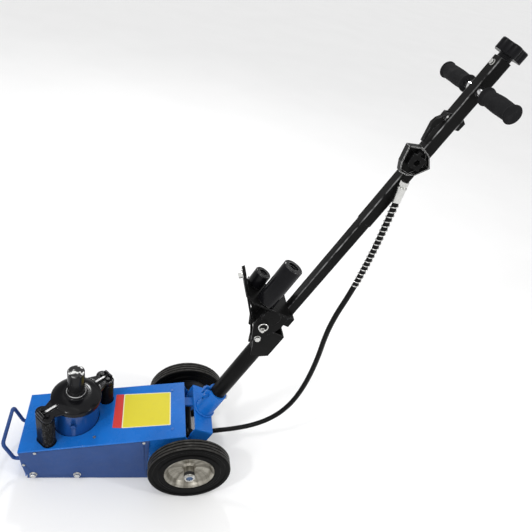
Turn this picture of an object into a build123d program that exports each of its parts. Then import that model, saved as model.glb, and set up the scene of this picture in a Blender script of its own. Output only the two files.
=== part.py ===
"""Air and hydraulic workshop jack on two wheels, with a folding handle.

Millimetres. The origin is on the floor under the ram's axis, +Z up, +X towards the wheels and the handle.
Left is the -Y side. Handle parts are placed by their distance up the handle from the wheel axle.
"""
from math import atan2, cos, degrees, pi, radians, sin, tan
import os

from build123d import *

# ------------------------------------------------------------------ driving dimensions
WHEEL_RADIUS = 100.0
AXLE_X = 278.0
AXLE_RADIUS = 10.0
RUNNING_CLEARANCE = 0.06
TYRE_INNER_Y = 105.0
TYRE_WIDTH = 32.0
RIM_RADIUS = 59.0
HUB_END_Y = 143.0
AXLE_END_RADIUS = 8.5

BODY_FRONT_X = -120.0
BODY_REAR_X = 262.0
BODY_HALF_WIDTH = 86.0
COVER_FRONT_Z = 108.0
COVER_REAR_Z = 177.5
PANEL_BOTTOM_Z = 12.0
PANEL_REAR_X = 178.0
PANEL_BOLT_X = (-90.0, 12.0)
COVER_SCREWS = [(49.0, -63.0), (-49.0, 63.0), (231.0, -60.0), (231.0, 60.0)]
SHEET = 3.0
TRAY_THICKNESS = 8.0
CARRY_HALF = 55.0
CARRY_RADIUS = 4.5
CARRY_FOOT_Z = 40.0

RAM_RADIUS = 24.0
BORE_RADIUS = 29.0
RESERVOIR_RADIUS = 53.5
RESERVOIR_TOP_Z = 198.0
YOKE_BOTTOM_Z = 208.0
YOKE_RADIUS = 58.0
NECK_RADIUS = 23.0
NECK_TOP_Z = 232.0
ADAPTER_RADIUS = 19.5
ADAPTER_TOP_Z = 298.0
SPRING_X = 61.0
SPRING_Y = 57.0
SPRING_SPREAD = 10.5
GUARD_RADIUS = 15.0

MOTOR_FRONT_X = 128.0
MOTOR_REAR_X = 214.0
MOTOR_Z = 64.0
MOTOR_RADIUS = 44.0
VALVE_SCREW_Y = 48.0
VALVE_SCREW_Z = 26.0

HANDLE_ANGLE = 67.9
WEB_ALONG = 84.0
SOCKET_END = 155.0
LOWER_TUBE_RADIUS = 19.0
LOWER_TUBE_END = 352.0
FOLD_ALONG = 373.0
FOLD_FRONT = 33.0
LOCK_ALONG = 404.0
LOCK_FRONT = 42.0
MID_TUBE_START = 418.0
MID_TUBE_SIZE = 22.0
UPPER_TUBE_START = 711.0
UPPER_TUBE_SIZE = 24.0
UPPER_TUBE_END = 1064.0
T_BAR_ALONG = 1007.0
T_BAR_HALF = 118.0
T_BAR_RADIUS = 8.5
SHELF_ALONG = 466.0
RACK_ARM_FOOT = (396.0, 62.0)
RACK_ARM_TOP = (500.0, 150.0)
ADAPTER_PLACES = {"long": (72.0, -21.5), "short": (94.0, 23.0)}
TRIGGER_ALONG = 948.0
TRIGGER_FRONT = 15.6
KNOB_RADIUS = 26.5

HOSE_DIAMETER = 12.0
HOSE_Y = -25.0
VALVE_Y = -12.2
HOSE_ROUTE = [
    (581.0, HOSE_Y, 822.0),
    (579.0, HOSE_Y, 764.0),
    (575.0, HOSE_Y, 706.0),
    (569.0, HOSE_Y, 648.0),
    (560.0, HOSE_Y, 590.0),
    (548.0, HOSE_Y, 533.0),
    (543.0, HOSE_Y, 474.0),
    (545.0, HOSE_Y, 414.0),
    (543.0, HOSE_Y, 354.0),
    (536.0, HOSE_Y, 294.0),
    (521.0, HOSE_Y, 236.0),
    (492.0, HOSE_Y, 186.0),
    (448.0, HOSE_Y, 151.0),
    (394.0, HOSE_Y, 131.0),
    (345.0, HOSE_Y, 122.0),
    (304.0, HOSE_Y, 110.0),
]

AXLE_Z = WHEEL_RADIUS
COVER_SLOPE = (COVER_REAR_Z - COVER_FRONT_Z) / (BODY_REAR_X - BODY_FRONT_X)
HANDLE_DIRECTION = Vector(cos(radians(HANDLE_ANGLE)), 0, sin(radians(HANDLE_ANGLE)))
HANDLE_FRONT = Vector(-sin(radians(HANDLE_ANGLE)), 0, cos(radians(HANDLE_ANGLE)))
SIDES = {"left": -1, "right": 1}

os.makedirs("parts", exist_ok=True)


# ------------------------------------------------------------------ helpers
def save(piece, name):
    """Label a finished builder's part and write it as the node called name."""
    piece.part.label = name
    export_step(piece.part, f"parts/{name}.step")


def cover_height(x):
    """Height of the sloping cover's top face at x."""
    return COVER_FRONT_Z + COVER_SLOPE * (x - BODY_FRONT_X)


def handle_point(along, front=0.0, side=0.0):
    """Point on the handle: along its axis from the axle, to its front, and to the side in y."""
    return Vector(AXLE_X, side, AXLE_Z) + HANDLE_DIRECTION * along + HANDLE_FRONT * front


def across_handle(along, front=0.0, side=0.0):
    """Plane square to the handle: z runs up the handle, x to its front, y to -Y."""
    return Plane(origin=handle_point(along, front, side), x_dir=HANDLE_FRONT, z_dir=HANDLE_DIRECTION)


def beside_handle(side):
    """Plane along the handle at one y: x runs up the handle, y to its front, normal to -Y."""
    return Plane(origin=(AXLE_X, side, AXLE_Z), x_dir=HANDLE_DIRECTION, z_dir=(0, -1, 0))


def side_plane(y, normal=-1):
    """Upright plane at y with x as the part's x and y as the part's z, or -z for normal +1."""
    return Plane(origin=(0, y, 0), x_dir=(1, 0, 0), z_dir=(0, normal, 0))


def facing(origin, normal, x_dir=(1, 0, 0)):
    """Plane at origin that faces along normal."""
    return Plane(origin=origin, x_dir=x_dir, z_dir=normal)


def ring(plane, outer, inner, length):
    """Add a round tube, or a bar where inner is 0, that stands on plane."""
    standing = (Align.CENTER, Align.CENTER, Align.MIN)
    with Locations(plane):
        Cylinder(outer, length, align=standing)
        if inner > 0:
            Cylinder(inner, length, align=standing, mode=Mode.SUBTRACT)


def bore(plane, radius, length):
    """Cut a round hole from plane along its normal."""
    with Locations(plane):
        Cylinder(radius, length, align=(Align.CENTER, Align.CENTER, Align.MIN), mode=Mode.SUBTRACT)


def hexagon_head(across_flats, height, washer_radius=0.0, washer_height=0.0):
    """A hexagon bolt head, on a washer where one is given, standing on the XY plane."""
    with BuildPart() as head:
        with BuildSketch(Plane.XY.offset(washer_height)):
            RegularPolygon(radius=across_flats / 2, side_count=6, major_radius=False)
        extrude(amount=height)
        chamfer(head.faces().sort_by(Axis.Z)[-1].edges(), height * 0.12)
        if washer_radius > 0:
            ring(Plane.XY, washer_radius, 0, washer_height)
    return head.part


def place(plane, piece):
    """Add a finished piece to the open part, standing on plane."""
    with Locations(plane):
        add(piece)


def outline(points):
    """Closed polygon in the open sketch."""
    Polygon(*points, align=None)


# ------------------------------------------------------------------ wheels and axle
def make_tyre(name, sign):
    """Solid rubber tyre: four tread ribs, round shoulders and a raised ring on each wall."""
    middle_y = TYRE_INNER_Y + TYRE_WIDTH / 2
    half = TYRE_WIDTH / 2
    shoulder = 4.0
    groove_spacing = 7.6
    wall = [
        (half - 3, RIM_RADIUS),
        (half, RIM_RADIUS + 4),
        (half, RIM_RADIUS + 15),
        (half - 2, RIM_RADIUS + 18),
        (half - 2, WHEEL_RADIUS - 13),
        (half - 0.5, WHEEL_RADIUS - 10),
        (half - 0.5, WHEEL_RADIUS - shoulder),
        (half - 1.5, WHEEL_RADIUS - 1.5),
        (half - shoulder, WHEEL_RADIUS),
    ]
    far_wall = [(-y, r) for y, r in reversed(wall)]
    with BuildPart() as tyre:
        with BuildSketch(Plane.YZ):
            outline([(middle_y + y, r) for y, r in wall + far_wall])
            with Locations(*[(middle_y + k * groove_spacing, WHEEL_RADIUS) for k in (-1, 0, 1)]):
                Rectangle(2.6, 7.0, mode=Mode.SUBTRACT)
        revolve(axis=Axis.Y)
    spot = Location((AXLE_X, 0, AXLE_Z), (0, 0, 0 if sign > 0 else 180))
    tyre.part = tyre.part.moved(spot)
    save(tyre, name)


def make_rim(name, sign):
    """Pressed dish rim, open to the outside, welded to its hub tube."""
    inner_y = TYRE_INNER_Y + 3
    outer_y = TYRE_INNER_Y + TYRE_WIDTH - 3
    hub_radius = 17.0
    nose_radius = 13.0
    dish_y = inner_y + 5
    with BuildPart() as rim:
        with BuildSketch(Plane.YZ):
            outline(
                [
                    (inner_y, RIM_RADIUS),
                    (outer_y, RIM_RADIUS),
                    (outer_y + 1.5, RIM_RADIUS + 2),
                    (outer_y + 2.5, RIM_RADIUS + 1),
                    (outer_y, RIM_RADIUS - 3),
                    (dish_y + 9, 50),
                    (dish_y + 3, 36),
                    (dish_y + 3, hub_radius),
                    (dish_y + 8, nose_radius),
                    (HUB_END_Y, nose_radius),
                    (HUB_END_Y, AXLE_RADIUS + RUNNING_CLEARANCE),
                    (inner_y - 4, AXLE_RADIUS + RUNNING_CLEARANCE),
                    (inner_y - 4, hub_radius),
                    (dish_y, hub_radius),
                    (dish_y, 37),
                    (dish_y + 6, 52),
                    (inner_y, RIM_RADIUS - 3),
                ]
            )
        revolve(axis=Axis.Y)
    spot = Location((AXLE_X, 0, AXLE_Z), (0, 0, 0 if sign > 0 else 180))
    rim.part = rim.part.moved(spot)
    save(rim, name)


def make_axle():
    """Through axle with a welded collar inboard of each wheel and a thinner threaded end."""
    collar_start = BODY_HALF_WIDTH - 3
    with BuildPart() as wheel_axle:
        ring(facing((AXLE_X, -HUB_END_Y, AXLE_Z), (0, 1, 0)), AXLE_RADIUS, 0, 2 * HUB_END_Y)
        for sign in SIDES.values():
            start = facing((AXLE_X, sign * collar_start, AXLE_Z), (0, sign, 0))
            ring(start, 15.0, 0, TYRE_INNER_Y - 1.5 - collar_start)
            ring(facing((AXLE_X, sign * HUB_END_Y, AXLE_Z), (0, sign, 0)), AXLE_END_RADIUS, 0, 4.5)
        chamfer(wheel_axle.faces().filter_by(Axis.Y).sort_by(Axis.Y)[0].edges(), 1.5)
        chamfer(wheel_axle.faces().filter_by(Axis.Y).sort_by(Axis.Y)[-1].edges(), 1.5)
    save(wheel_axle, "wheel_axle")


def make_axle_nuts():
    """Flanged nut that keeps each wheel on the axle."""
    with BuildPart() as axle_nuts:
        for sign in SIDES.values():
            seat = facing((AXLE_X, sign * (HUB_END_Y + 0.2), AXLE_Z), (0, sign, 0))
            with BuildSketch(seat):
                Circle(13.0)
                Circle(AXLE_END_RADIUS, mode=Mode.SUBTRACT)
            extrude(amount=2.0)
            with BuildSketch(seat.offset(2.0)):
                RegularPolygon(radius=11.0, side_count=6, major_radius=False)
                Circle(AXLE_END_RADIUS, mode=Mode.SUBTRACT)
            extrude(amount=3.5)
    save(axle_nuts, "axle_nuts")


# ------------------------------------------------------------------ body
def make_base_tray():
    """Folded floor tray: a thick bottom with a low flange each side."""
    front = BODY_FRONT_X + 14
    rear = 204.0
    flange_top = 36.0
    outer = BODY_HALF_WIDTH - SHEET
    with BuildPart() as base_tray:
        with BuildSketch(Plane.YZ.offset(front)):
            with Locations((0, TRAY_THICKNESS / 2)):
                Rectangle(2 * outer, TRAY_THICKNESS)
            for sign in SIDES.values():
                with Locations((sign * (outer - 1.5), flange_top / 2)):
                    Rectangle(3.0, flange_top)
        extrude(amount=rear - front)
        fillet(base_tray.edges().filter_by(Axis.Z), 1.2)
    save(base_tray, "base_tray")


def make_hydraulic_base():
    """Cast block under the cylinder, with the pump boss and its oil ways behind it."""
    half_width = 62.0
    seat_top = 44.0
    boss_front = 74.0
    boss_rear = 128.0
    boss_top = 92.0
    pump_z = 64.0
    with BuildPart() as hydraulic_base:
        with BuildSketch(Plane.XY.offset(TRAY_THICKNESS)):
            with Locations(((boss_rear - 60) / 2, 0)):
                Rectangle(boss_rear + 60, 2 * half_width)
        extrude(amount=seat_top - TRAY_THICKNESS)
        fillet(hydraulic_base.edges().filter_by(Axis.Z), 8.0)
        with BuildSketch(Plane.XY.offset(TRAY_THICKNESS)):
            for sign in SIDES.values():
                spring_slot(sign, GUARD_RADIUS + 0.5)
        extrude(amount=seat_top - TRAY_THICKNESS, mode=Mode.SUBTRACT)
        with BuildSketch(Plane.XY.offset(seat_top)):
            with Locations(((boss_front + boss_rear) / 2, 0)):
                RectangleRounded(boss_rear - boss_front, 74.0, 4.0)
        extrude(amount=boss_top - seat_top)
        with BuildSketch(facing((boss_rear, 0, pump_z), (-1, 0, 0), (0, 1, 0))):
            Circle(6.0 + RUNNING_CLEARANCE)
        extrude(amount=50.0, mode=Mode.SUBTRACT)
        with BuildSketch(facing((boss_rear, VALVE_SCREW_Y, VALVE_SCREW_Z), (-1, 0, 0), (0, 1, 0))):
            Circle(7.0 + RUNNING_CLEARANCE)
        extrude(amount=26.0, mode=Mode.SUBTRACT)
        with BuildSketch(facing((60, 0, 26), (-1, 0, 0), (0, 1, 0))):
            Circle(4.0)
        extrude(amount=60.0, mode=Mode.SUBTRACT)
        with BuildSketch(Plane.XY.offset(seat_top)):
            Circle(4.0)
        extrude(amount=-18.0, mode=Mode.SUBTRACT)
    save(hydraulic_base, "hydraulic_base")


def make_cylinder():
    """Pressure cylinder, the oil reservoir round it and the head that closes both."""
    floor_z = 44.0
    with BuildPart() as pressure_cylinder:
        ring(Plane.XY.offset(floor_z), BORE_RADIUS + 7, 0, RESERVOIR_TOP_Z - floor_z)
        with BuildSketch(Plane.XY.offset(floor_z + 8)):
            Circle(BORE_RADIUS)
        extrude(amount=RESERVOIR_TOP_Z - floor_z - 8, mode=Mode.SUBTRACT)
        with BuildSketch(Plane.XY.offset(floor_z)):
            Circle(4.0)
        extrude(amount=8.0, mode=Mode.SUBTRACT)
    save(pressure_cylinder, "pressure_cylinder")

    with BuildPart() as reservoir:
        ring(Plane.XY.offset(floor_z), RESERVOIR_RADIUS, RESERVOIR_RADIUS - 4, RESERVOIR_TOP_Z - floor_z)
        with BuildSketch(facing((0, -RESERVOIR_RADIUS + 6, 166), (0, -1, 0))):
            Circle(5.0)
        extrude(amount=10.0, mode=Mode.SUBTRACT)
    save(reservoir, "reservoir")

    with BuildPart() as filler_plug:
        seat = facing((0, -RESERVOIR_RADIUS + 4.5, 166), (0, -1, 0))
        ring(seat, 5.0, 0, 5.0)
        place(seat.offset(4.7), hexagon_head(11.0, 3.5))
    save(filler_plug, "filler_plug")

    with BuildPart() as cylinder_head:
        ring(Plane.XY.offset(RESERVOIR_TOP_Z), RESERVOIR_RADIUS, 0, YOKE_BOTTOM_Z - 1 - RESERVOIR_TOP_Z)
        with BuildSketch(Plane.XY.offset(RESERVOIR_TOP_Z)):
            Circle(RAM_RADIUS + RUNNING_CLEARANCE)
        extrude(amount=YOKE_BOTTOM_Z - RESERVOIR_TOP_Z, mode=Mode.SUBTRACT)
        chamfer(cylinder_head.edges().group_by(Axis.Z)[-1].sort_by(SortBy.RADIUS)[-1], 1.5)
    save(cylinder_head, "cylinder_head")


def spring_centres(sign):
    """Centres of the two springs on one side, side by side across the yoke's arm."""
    reach = Vector(SPRING_X, SPRING_Y).length
    step_x = SPRING_SPREAD * SPRING_Y / reach
    step_y = SPRING_SPREAD * SPRING_X / reach
    return [(sign * SPRING_X + k * step_x, sign * SPRING_Y - k * step_y) for k in (-1, 1)]


def spring_slot(sign, radius):
    """Oblong round one side's two springs, in the open sketch."""
    turn = -degrees(atan2(SPRING_X, SPRING_Y))
    with Locations(Location((sign * SPRING_X, sign * SPRING_Y, 0), (0, 0, turn))):
        SlotCenterToCenter(2 * SPRING_SPREAD, 2 * radius)


def make_spring_guards():
    """Oblong guard round each pair of return springs, with flutes down its front spring's side."""
    floor_z = TRAY_THICKNESS
    height = YOKE_BOTTOM_Z - 3 - floor_z
    flute_count = 12
    for name, sign in SIDES.items():
        with BuildPart() as guard:
            with BuildSketch(Plane.XY.offset(floor_z)):
                spring_slot(sign, GUARD_RADIUS)
                with Locations(*spring_centres(sign)):
                    Circle(GUARD_RADIUS - 3.0, mode=Mode.SUBTRACT)
                first_flute = 20 if sign > 0 else 200
                with Locations(spring_centres(sign)[(1 - sign) // 2]):
                    with PolarLocations(GUARD_RADIUS, flute_count, first_flute, 190):
                        Circle(0.8, mode=Mode.SUBTRACT)
            extrude(amount=height)
        save(guard, f"spring_guard_{name}")


def make_return_springs():
    """Two closed-coil tension springs a side, as plain tubes of the coil's size."""
    floor_z = 14.0
    top_z = YOKE_BOTTOM_Z - 2
    for name, sign in SIDES.items():
        with BuildPart() as spring:
            for centre in spring_centres(sign):
                with BuildSketch(Plane.XY.offset(floor_z)):
                    with Locations(centre):
                        Circle(9.0)
                        Circle(6.6, mode=Mode.SUBTRACT)
                extrude(amount=top_z - floor_z)
        save(spring, f"return_spring_{name}")


def make_rear_frame():
    """Welded rear frame: two rails that carry the axle, joined by a cross plate with a stop bar."""
    rail_outer = BODY_HALF_WIDTH - SHEET
    rail_thickness = 6.0
    rail_front = 96.0
    eye_radius = 24.0
    top_gap = SHEET + 0.3
    cross_x = 238.0
    with BuildPart() as rear_frame:
        for sign in SIDES.values():
            start = rail_outer if sign < 0 else -(rail_outer - rail_thickness)
            with BuildSketch(side_plane(-start)):
                outline(
                    [
                        (rail_front, 36.3),
                        (208, 36.3),
                        (AXLE_X - 8, AXLE_Z - eye_radius + 2),
                        (AXLE_X, AXLE_Z - eye_radius),
                        (AXLE_X + eye_radius, AXLE_Z),
                        (AXLE_X + 2, AXLE_Z + eye_radius + 16),
                        (BODY_REAR_X - 3, cover_height(BODY_REAR_X - 3) - top_gap),
                        (rail_front, cover_height(rail_front) - top_gap),
                    ]
                )
                with Locations((AXLE_X, AXLE_Z)):
                    Circle(eye_radius)
                    Circle(AXLE_RADIUS, mode=Mode.SUBTRACT)
            extrude(amount=-rail_thickness)
        with BuildSketch(Plane.XY.offset(112)):
            with Locations((cross_x, 0)):
                Rectangle(6.0, 2 * (rail_outer - rail_thickness))
        extrude(amount=cover_height(cross_x) - top_gap - 1.5 - 112)
        with BuildSketch(Plane.XY.offset(152)):
            with Locations((cross_x + 26, 38)):
                Rectangle(52.0, 25.0)
        extrude(amount=6.0)
    save(rear_frame, "rear_frame")


def make_side_panels():
    """Sheet-metal side panel with a raked front edge, outside the tray and the rails."""
    for name, sign in SIDES.items():
        outer = -BODY_HALF_WIDTH if sign < 0 else BODY_HALF_WIDTH - SHEET
        with BuildPart() as panel:
            with BuildSketch(side_plane(outer)):
                outline(
                    [
                        (BODY_FRONT_X + 0.5, cover_height(BODY_FRONT_X) - 5),
                        (BODY_FRONT_X + 6, 52),
                        (BODY_FRONT_X + 11, 24),
                        (BODY_FRONT_X + 20, PANEL_BOTTOM_Z),
                        (PANEL_REAR_X, PANEL_BOTTOM_Z),
                        (PANEL_REAR_X, cover_height(PANEL_REAR_X) - SHEET - 0.3),
                        (BODY_FRONT_X + 0.5, cover_height(BODY_FRONT_X) - SHEET - 0.3),
                    ]
                )
            extrude(amount=-SHEET)
            with BuildSketch(side_plane(outer)):
                with Locations(*[(x, 21) for x in PANEL_BOLT_X]):
                    Circle(4.0)
                with Locations(*[(x, z) for x, z in panel_screw_places()]):
                    Circle(2.0)
            extrude(amount=-SHEET, mode=Mode.SUBTRACT)
        save(panel, f"side_panel_{name}")


def panel_screw_places():
    """Where small screws hold a side panel: two along the cover's flange and one by the front plate."""
    return [(-83.0, cover_height(-83.0) - 8), (165.0, cover_height(165.0) - 8), (-110.0, 60.0)]


def make_front_plate():
    """Raked front plate between the panels, flanged along its top."""
    inner = BODY_HALF_WIDTH - SHEET
    top_z = COVER_FRONT_Z - SHEET - 0.4
    with BuildPart() as front_plate:
        with BuildSketch(side_plane(inner)):
            outline(
                [
                    (BODY_FRONT_X + 1, top_z),
                    (BODY_FRONT_X + 7, 52),
                    (BODY_FRONT_X + 13, 24),
                    (BODY_FRONT_X + 13, 8.2),
                    (BODY_FRONT_X + 10, 8.2),
                    (BODY_FRONT_X + 10, 23.4),
                    (BODY_FRONT_X + 4, 51.6),
                    (BODY_FRONT_X - 2, top_z),
                ]
            )
        extrude(amount=2 * inner)
        with BuildSketch(Plane.XY.offset(top_z - 3)):
            with Locations((BODY_FRONT_X + 9, 0)):
                Rectangle(16.0, 2 * inner)
        extrude(amount=3.0)
        for sign in SIDES.values():
            foot = facing((BODY_FRONT_X - 10, sign * CARRY_HALF, CARRY_FOOT_Z), (1, 0, 0), (0, 1, 0))
            bore(foot, CARRY_RADIUS, 30.0)
    save(front_plate, "front_plate")


def make_carry_handle():
    """Bent round bar that leaves the front plate level and then rises forwards."""
    foot = BODY_FRONT_X + 12
    knee = BODY_FRONT_X - 19.5
    top_x = BODY_FRONT_X - 41
    top_z = 95.0
    with BuildPart() as carry_handle:
        with BuildLine():
            path = FilletPolyline(
                (foot, -CARRY_HALF, CARRY_FOOT_Z),
                (knee, -CARRY_HALF, CARRY_FOOT_Z),
                (top_x, -CARRY_HALF, top_z),
                (top_x, CARRY_HALF, top_z),
                (knee, CARRY_HALF, CARRY_FOOT_Z),
                (foot, CARRY_HALF, CARRY_FOOT_Z),
                radius=10.0,
            )
        with BuildSketch(facing((foot, -CARRY_HALF, CARRY_FOOT_Z), (-1, 0, 0), (0, 1, 0))):
            Circle(CARRY_RADIUS)
        sweep(path=path)
    save(carry_handle, "carry_handle")


def cover_plane(x, y=0.0, lift=0.0):
    """Plane on the sloping cover's top face, with x up the slope."""
    along = Vector(1, 0, COVER_SLOPE).normalized()
    normal = Vector(-COVER_SLOPE, 0, 1).normalized()
    origin = Vector(x, y, cover_height(x)) + normal * lift
    return Plane(origin=origin, x_dir=along, z_dir=normal)


def make_top_cover():
    """Sloping cover with rounded long edges, inner flanges and the cut-out round the cylinder."""
    flange_depth = 14.0
    flange_y = BODY_HALF_WIDTH - SHEET
    lobe_radius = GUARD_RADIUS + 2.0
    with BuildPart() as top_cover:
        with BuildSketch(side_plane(BODY_HALF_WIDTH)):
            outline(
                [
                    (BODY_FRONT_X - 1.5, cover_height(BODY_FRONT_X - 1.5)),
                    (BODY_REAR_X, COVER_REAR_Z),
                    (BODY_REAR_X, COVER_REAR_Z - SHEET),
                    (BODY_FRONT_X - 1.5, cover_height(BODY_FRONT_X - 1.5) - SHEET),
                ]
            )
        extrude(amount=2 * BODY_HALF_WIDTH)
        long_edges = top_cover.edges().filter_by(lambda edge: edge.length > 300)
        fillet(long_edges.group_by(Axis.Z)[-1], 2.4)
        for sign in SIDES.values():
            outer = -flange_y if sign < 0 else flange_y - SHEET
            with BuildSketch(side_plane(outer)):
                outline(
                    [
                        (BODY_FRONT_X + 20, cover_height(BODY_FRONT_X + 20) - 1),
                        (94, cover_height(94) - 1),
                        (94, cover_height(94) - flange_depth),
                        (BODY_FRONT_X + 20, cover_height(BODY_FRONT_X + 20) - flange_depth),
                    ]
                )
            extrude(amount=-SHEET)
        with BuildSketch(Plane.XY.offset(90)):
            Circle(RESERVOIR_RADIUS + 1.5)
            for sign in SIDES.values():
                spring_slot(sign, lobe_radius)
        extrude(amount=60.0, mode=Mode.SUBTRACT)
        for x, y in COVER_SCREWS:
            bore(cover_plane(x, y, lift=-2 * SHEET), 1.8, 4 * SHEET)
    save(top_cover, "top_cover")


def make_body_screws():
    """Small screws of the panels and the cover."""
    with BuildPart() as body_screws:
        for sign in SIDES.values():
            for x, z in panel_screw_places():
                seat = facing((x, sign * BODY_HALF_WIDTH, z), (0, sign, 0))
                ring(seat.offset(-SHEET), 2.0, 0, SHEET)
                ring(seat, 3.6, 0, 1.8)
        for x, y in COVER_SCREWS:
            seat = cover_plane(x, y)
            ring(seat.offset(-SHEET), 1.6, 0, SHEET + 0.5)
            ring(seat, 3.6, 0, 1.6)
    save(body_screws, "body_screws")


def make_panel_bolts():
    """Hexagon bolts and washers that hold the panels to the tray's flanges."""
    with BuildPart() as panel_bolts:
        for sign in SIDES.values():
            for x in PANEL_BOLT_X:
                seat = facing((x, sign * BODY_HALF_WIDTH, 21), (0, sign, 0))
                ring(seat.offset(-SHEET), 4.0, 0, SHEET)
                place(seat, hexagon_head(13.0, 5.5, 9.0, 1.6))
    save(panel_bolts, "panel_bolts")


# ------------------------------------------------------------------ air motor and release valve
def make_air_motor():
    """Air motor behind the block: cylinder, end cap with its inlet, and the piston with its pump plunger."""
    wall = 3.0
    with BuildPart() as air_motor_cylinder:
        seat = facing((MOTOR_FRONT_X, 0, MOTOR_Z), (1, 0, 0), (0, 1, 0))
        ring(seat, MOTOR_RADIUS, MOTOR_RADIUS - wall, MOTOR_REAR_X - MOTOR_FRONT_X)
        ring(seat, MOTOR_RADIUS - wall, 8.0, 4.0)
    save(air_motor_cylinder, "air_motor_cylinder")

    with BuildPart() as air_motor_cap:
        seat = facing((MOTOR_REAR_X, 0, MOTOR_Z), (1, 0, 0), (0, 1, 0))
        ring(seat, MOTOR_RADIUS, 0, 9.0)
        ring(facing((MOTOR_REAR_X + 9, -28, MOTOR_Z), (1, 0, 0), (0, 1, 0)), 9.0, 0, 12.0)
        chamfer(air_motor_cap.faces().sort_by(Axis.X)[-1].edges(), 1.5)
    save(air_motor_cap, "air_motor_cap")

    with BuildPart() as air_piston:
        seat = facing((MOTOR_REAR_X - 12, 0, MOTOR_Z), (1, 0, 0), (0, 1, 0))
        ring(seat, MOTOR_RADIUS - wall - RUNNING_CLEARANCE, 0, 10.0)
        plunger = facing((MOTOR_FRONT_X - 14, 0, MOTOR_Z), (1, 0, 0), (0, 1, 0))
        ring(plunger, 6.0, 0, MOTOR_REAR_X - MOTOR_FRONT_X + 2)
    save(air_piston, "air_piston")


def make_release_valve():
    """Screw valve that lets the oil back, with a square drive on its tail."""
    with BuildPart() as release_valve:
        tip = facing((MOTOR_FRONT_X - 24, VALVE_SCREW_Y, VALVE_SCREW_Z), (1, 0, 0), (0, 1, 0))
        ring(tip, 7.0, 0, 24.0)
        tail = facing((MOTOR_FRONT_X, VALVE_SCREW_Y, VALVE_SCREW_Z), (1, 0, 0), (0, 1, 0))
        ring(tail, 5.0, 0, 34.0)
        with BuildSketch(tail.offset(34.0)):
            Rectangle(8.0, 8.0)
        extrude(amount=14.0)
        ring(tail.offset(3.0), 9.0, 0, 6.0)
    save(release_valve, "release_valve")


# ------------------------------------------------------------------ ram and lifting yoke
def make_ram():
    """Ram with its piston; its reduced top takes the yoke and the adapter's spigot."""
    bottom_z = 58.0
    piston_top = 74.0
    with BuildPart() as ram_piston:
        ring(Plane.XY.offset(bottom_z), BORE_RADIUS - RUNNING_CLEARANCE, 15.0, piston_top - bottom_z)
        with BuildSketch(Plane.XY.offset(bottom_z + 5)):
            Circle(BORE_RADIUS)
            Circle(BORE_RADIUS - 3, mode=Mode.SUBTRACT)
        extrude(amount=6.0, mode=Mode.SUBTRACT)
    save(ram_piston, "ram_piston")

    with BuildPart() as ram:
        ring(Plane.XY.offset(piston_top), RAM_RADIUS, 0, YOKE_BOTTOM_Z - piston_top)
        ring(Plane.XY.offset(bottom_z), 15.0, 0, piston_top - bottom_z)
        ring(Plane.XY.offset(YOKE_BOTTOM_Z), 18.0, 0, NECK_TOP_Z - 2 - YOKE_BOTTOM_Z)
        with BuildSketch(Plane.XY.offset(NECK_TOP_Z - 2)):
            Circle(11.0)
        extrude(amount=-40.0, mode=Mode.SUBTRACT)
    save(ram, "ram")


def arm_plane(sign, z):
    """Level plane at z with x out along one of the yoke's arms."""
    return Plane(origin=(0, 0, z), x_dir=(sign * SPRING_X, sign * SPRING_Y, 0), z_dir=(0, 0, 1))


def make_lift_yoke():
    """Domed cap on the ram with a neck ring and two diagonal arms that pull the return springs."""
    ear_top = YOKE_BOTTOM_Z + 8
    skirt_bottom = YOKE_BOTTOM_Z - 6
    reach = Vector(SPRING_X, SPRING_Y).length
    with BuildPart() as lift_yoke:
        with BuildSketch(Plane.XZ):
            with BuildLine():
                Polyline(
                    (18.0, YOKE_BOTTOM_Z),
                    (YOKE_RADIUS - 3.3, YOKE_BOTTOM_Z),
                    (YOKE_RADIUS - 3.3, skirt_bottom),
                    (YOKE_RADIUS - 1, skirt_bottom),
                    (YOKE_RADIUS, skirt_bottom + 1),
                    (YOKE_RADIUS, YOKE_BOTTOM_Z + 7),
                )
                ThreePointArc(
                    (YOKE_RADIUS, YOKE_BOTTOM_Z + 7),
                    (YOKE_RADIUS - 10, YOKE_BOTTOM_Z + 13),
                    (NECK_RADIUS + 3, YOKE_BOTTOM_Z + 17),
                )
                Polyline(
                    (NECK_RADIUS + 3, YOKE_BOTTOM_Z + 17),
                    (NECK_RADIUS, YOKE_BOTTOM_Z + 19),
                    (NECK_RADIUS, NECK_TOP_Z - 1),
                    (NECK_RADIUS - 1, NECK_TOP_Z),
                    (18.0, NECK_TOP_Z),
                    (18.0, YOKE_BOTTOM_Z),
                )
            make_face()
        revolve(axis=Axis.Z)
        for sign in SIDES.values():
            with BuildSketch(Plane.XY.offset(YOKE_BOTTOM_Z)):
                spring_slot(sign, GUARD_RADIUS)
            extrude(amount=ear_top - YOKE_BOTTOM_Z)
            with BuildSketch(arm_plane(sign, YOKE_BOTTOM_Z)):
                outline([(44, -30), (reach - 8, -17), (reach - 8, 17), (44, 30)])
            extrude(amount=ear_top - YOKE_BOTTOM_Z)
            with BuildSketch(arm_plane(sign, ear_top)):
                with Locations((reach - 12, 0)):
                    Rectangle(44.0, 9.0)
            extrude(amount=6.0, taper=15)
            with BuildSketch(arm_plane(sign, ear_top)):
                with Locations((reach + 10, 0)):
                    Rectangle(6.0, 26.0)
            extrude(amount=9.0)
    save(lift_yoke, "lift_yoke")


def make_yoke_bolts():
    """Hook bolt over each return spring, nutted on top of the yoke's ears."""
    with BuildPart() as yoke_bolts:
        for sign in SIDES.values():
            for x, y in spring_centres(sign):
                place(Plane((x, y, YOKE_BOTTOM_Z + 8)), hexagon_head(9.0, 4.5, 5.2, 1.0))
    save(yoke_bolts, "yoke_bolts")


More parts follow.
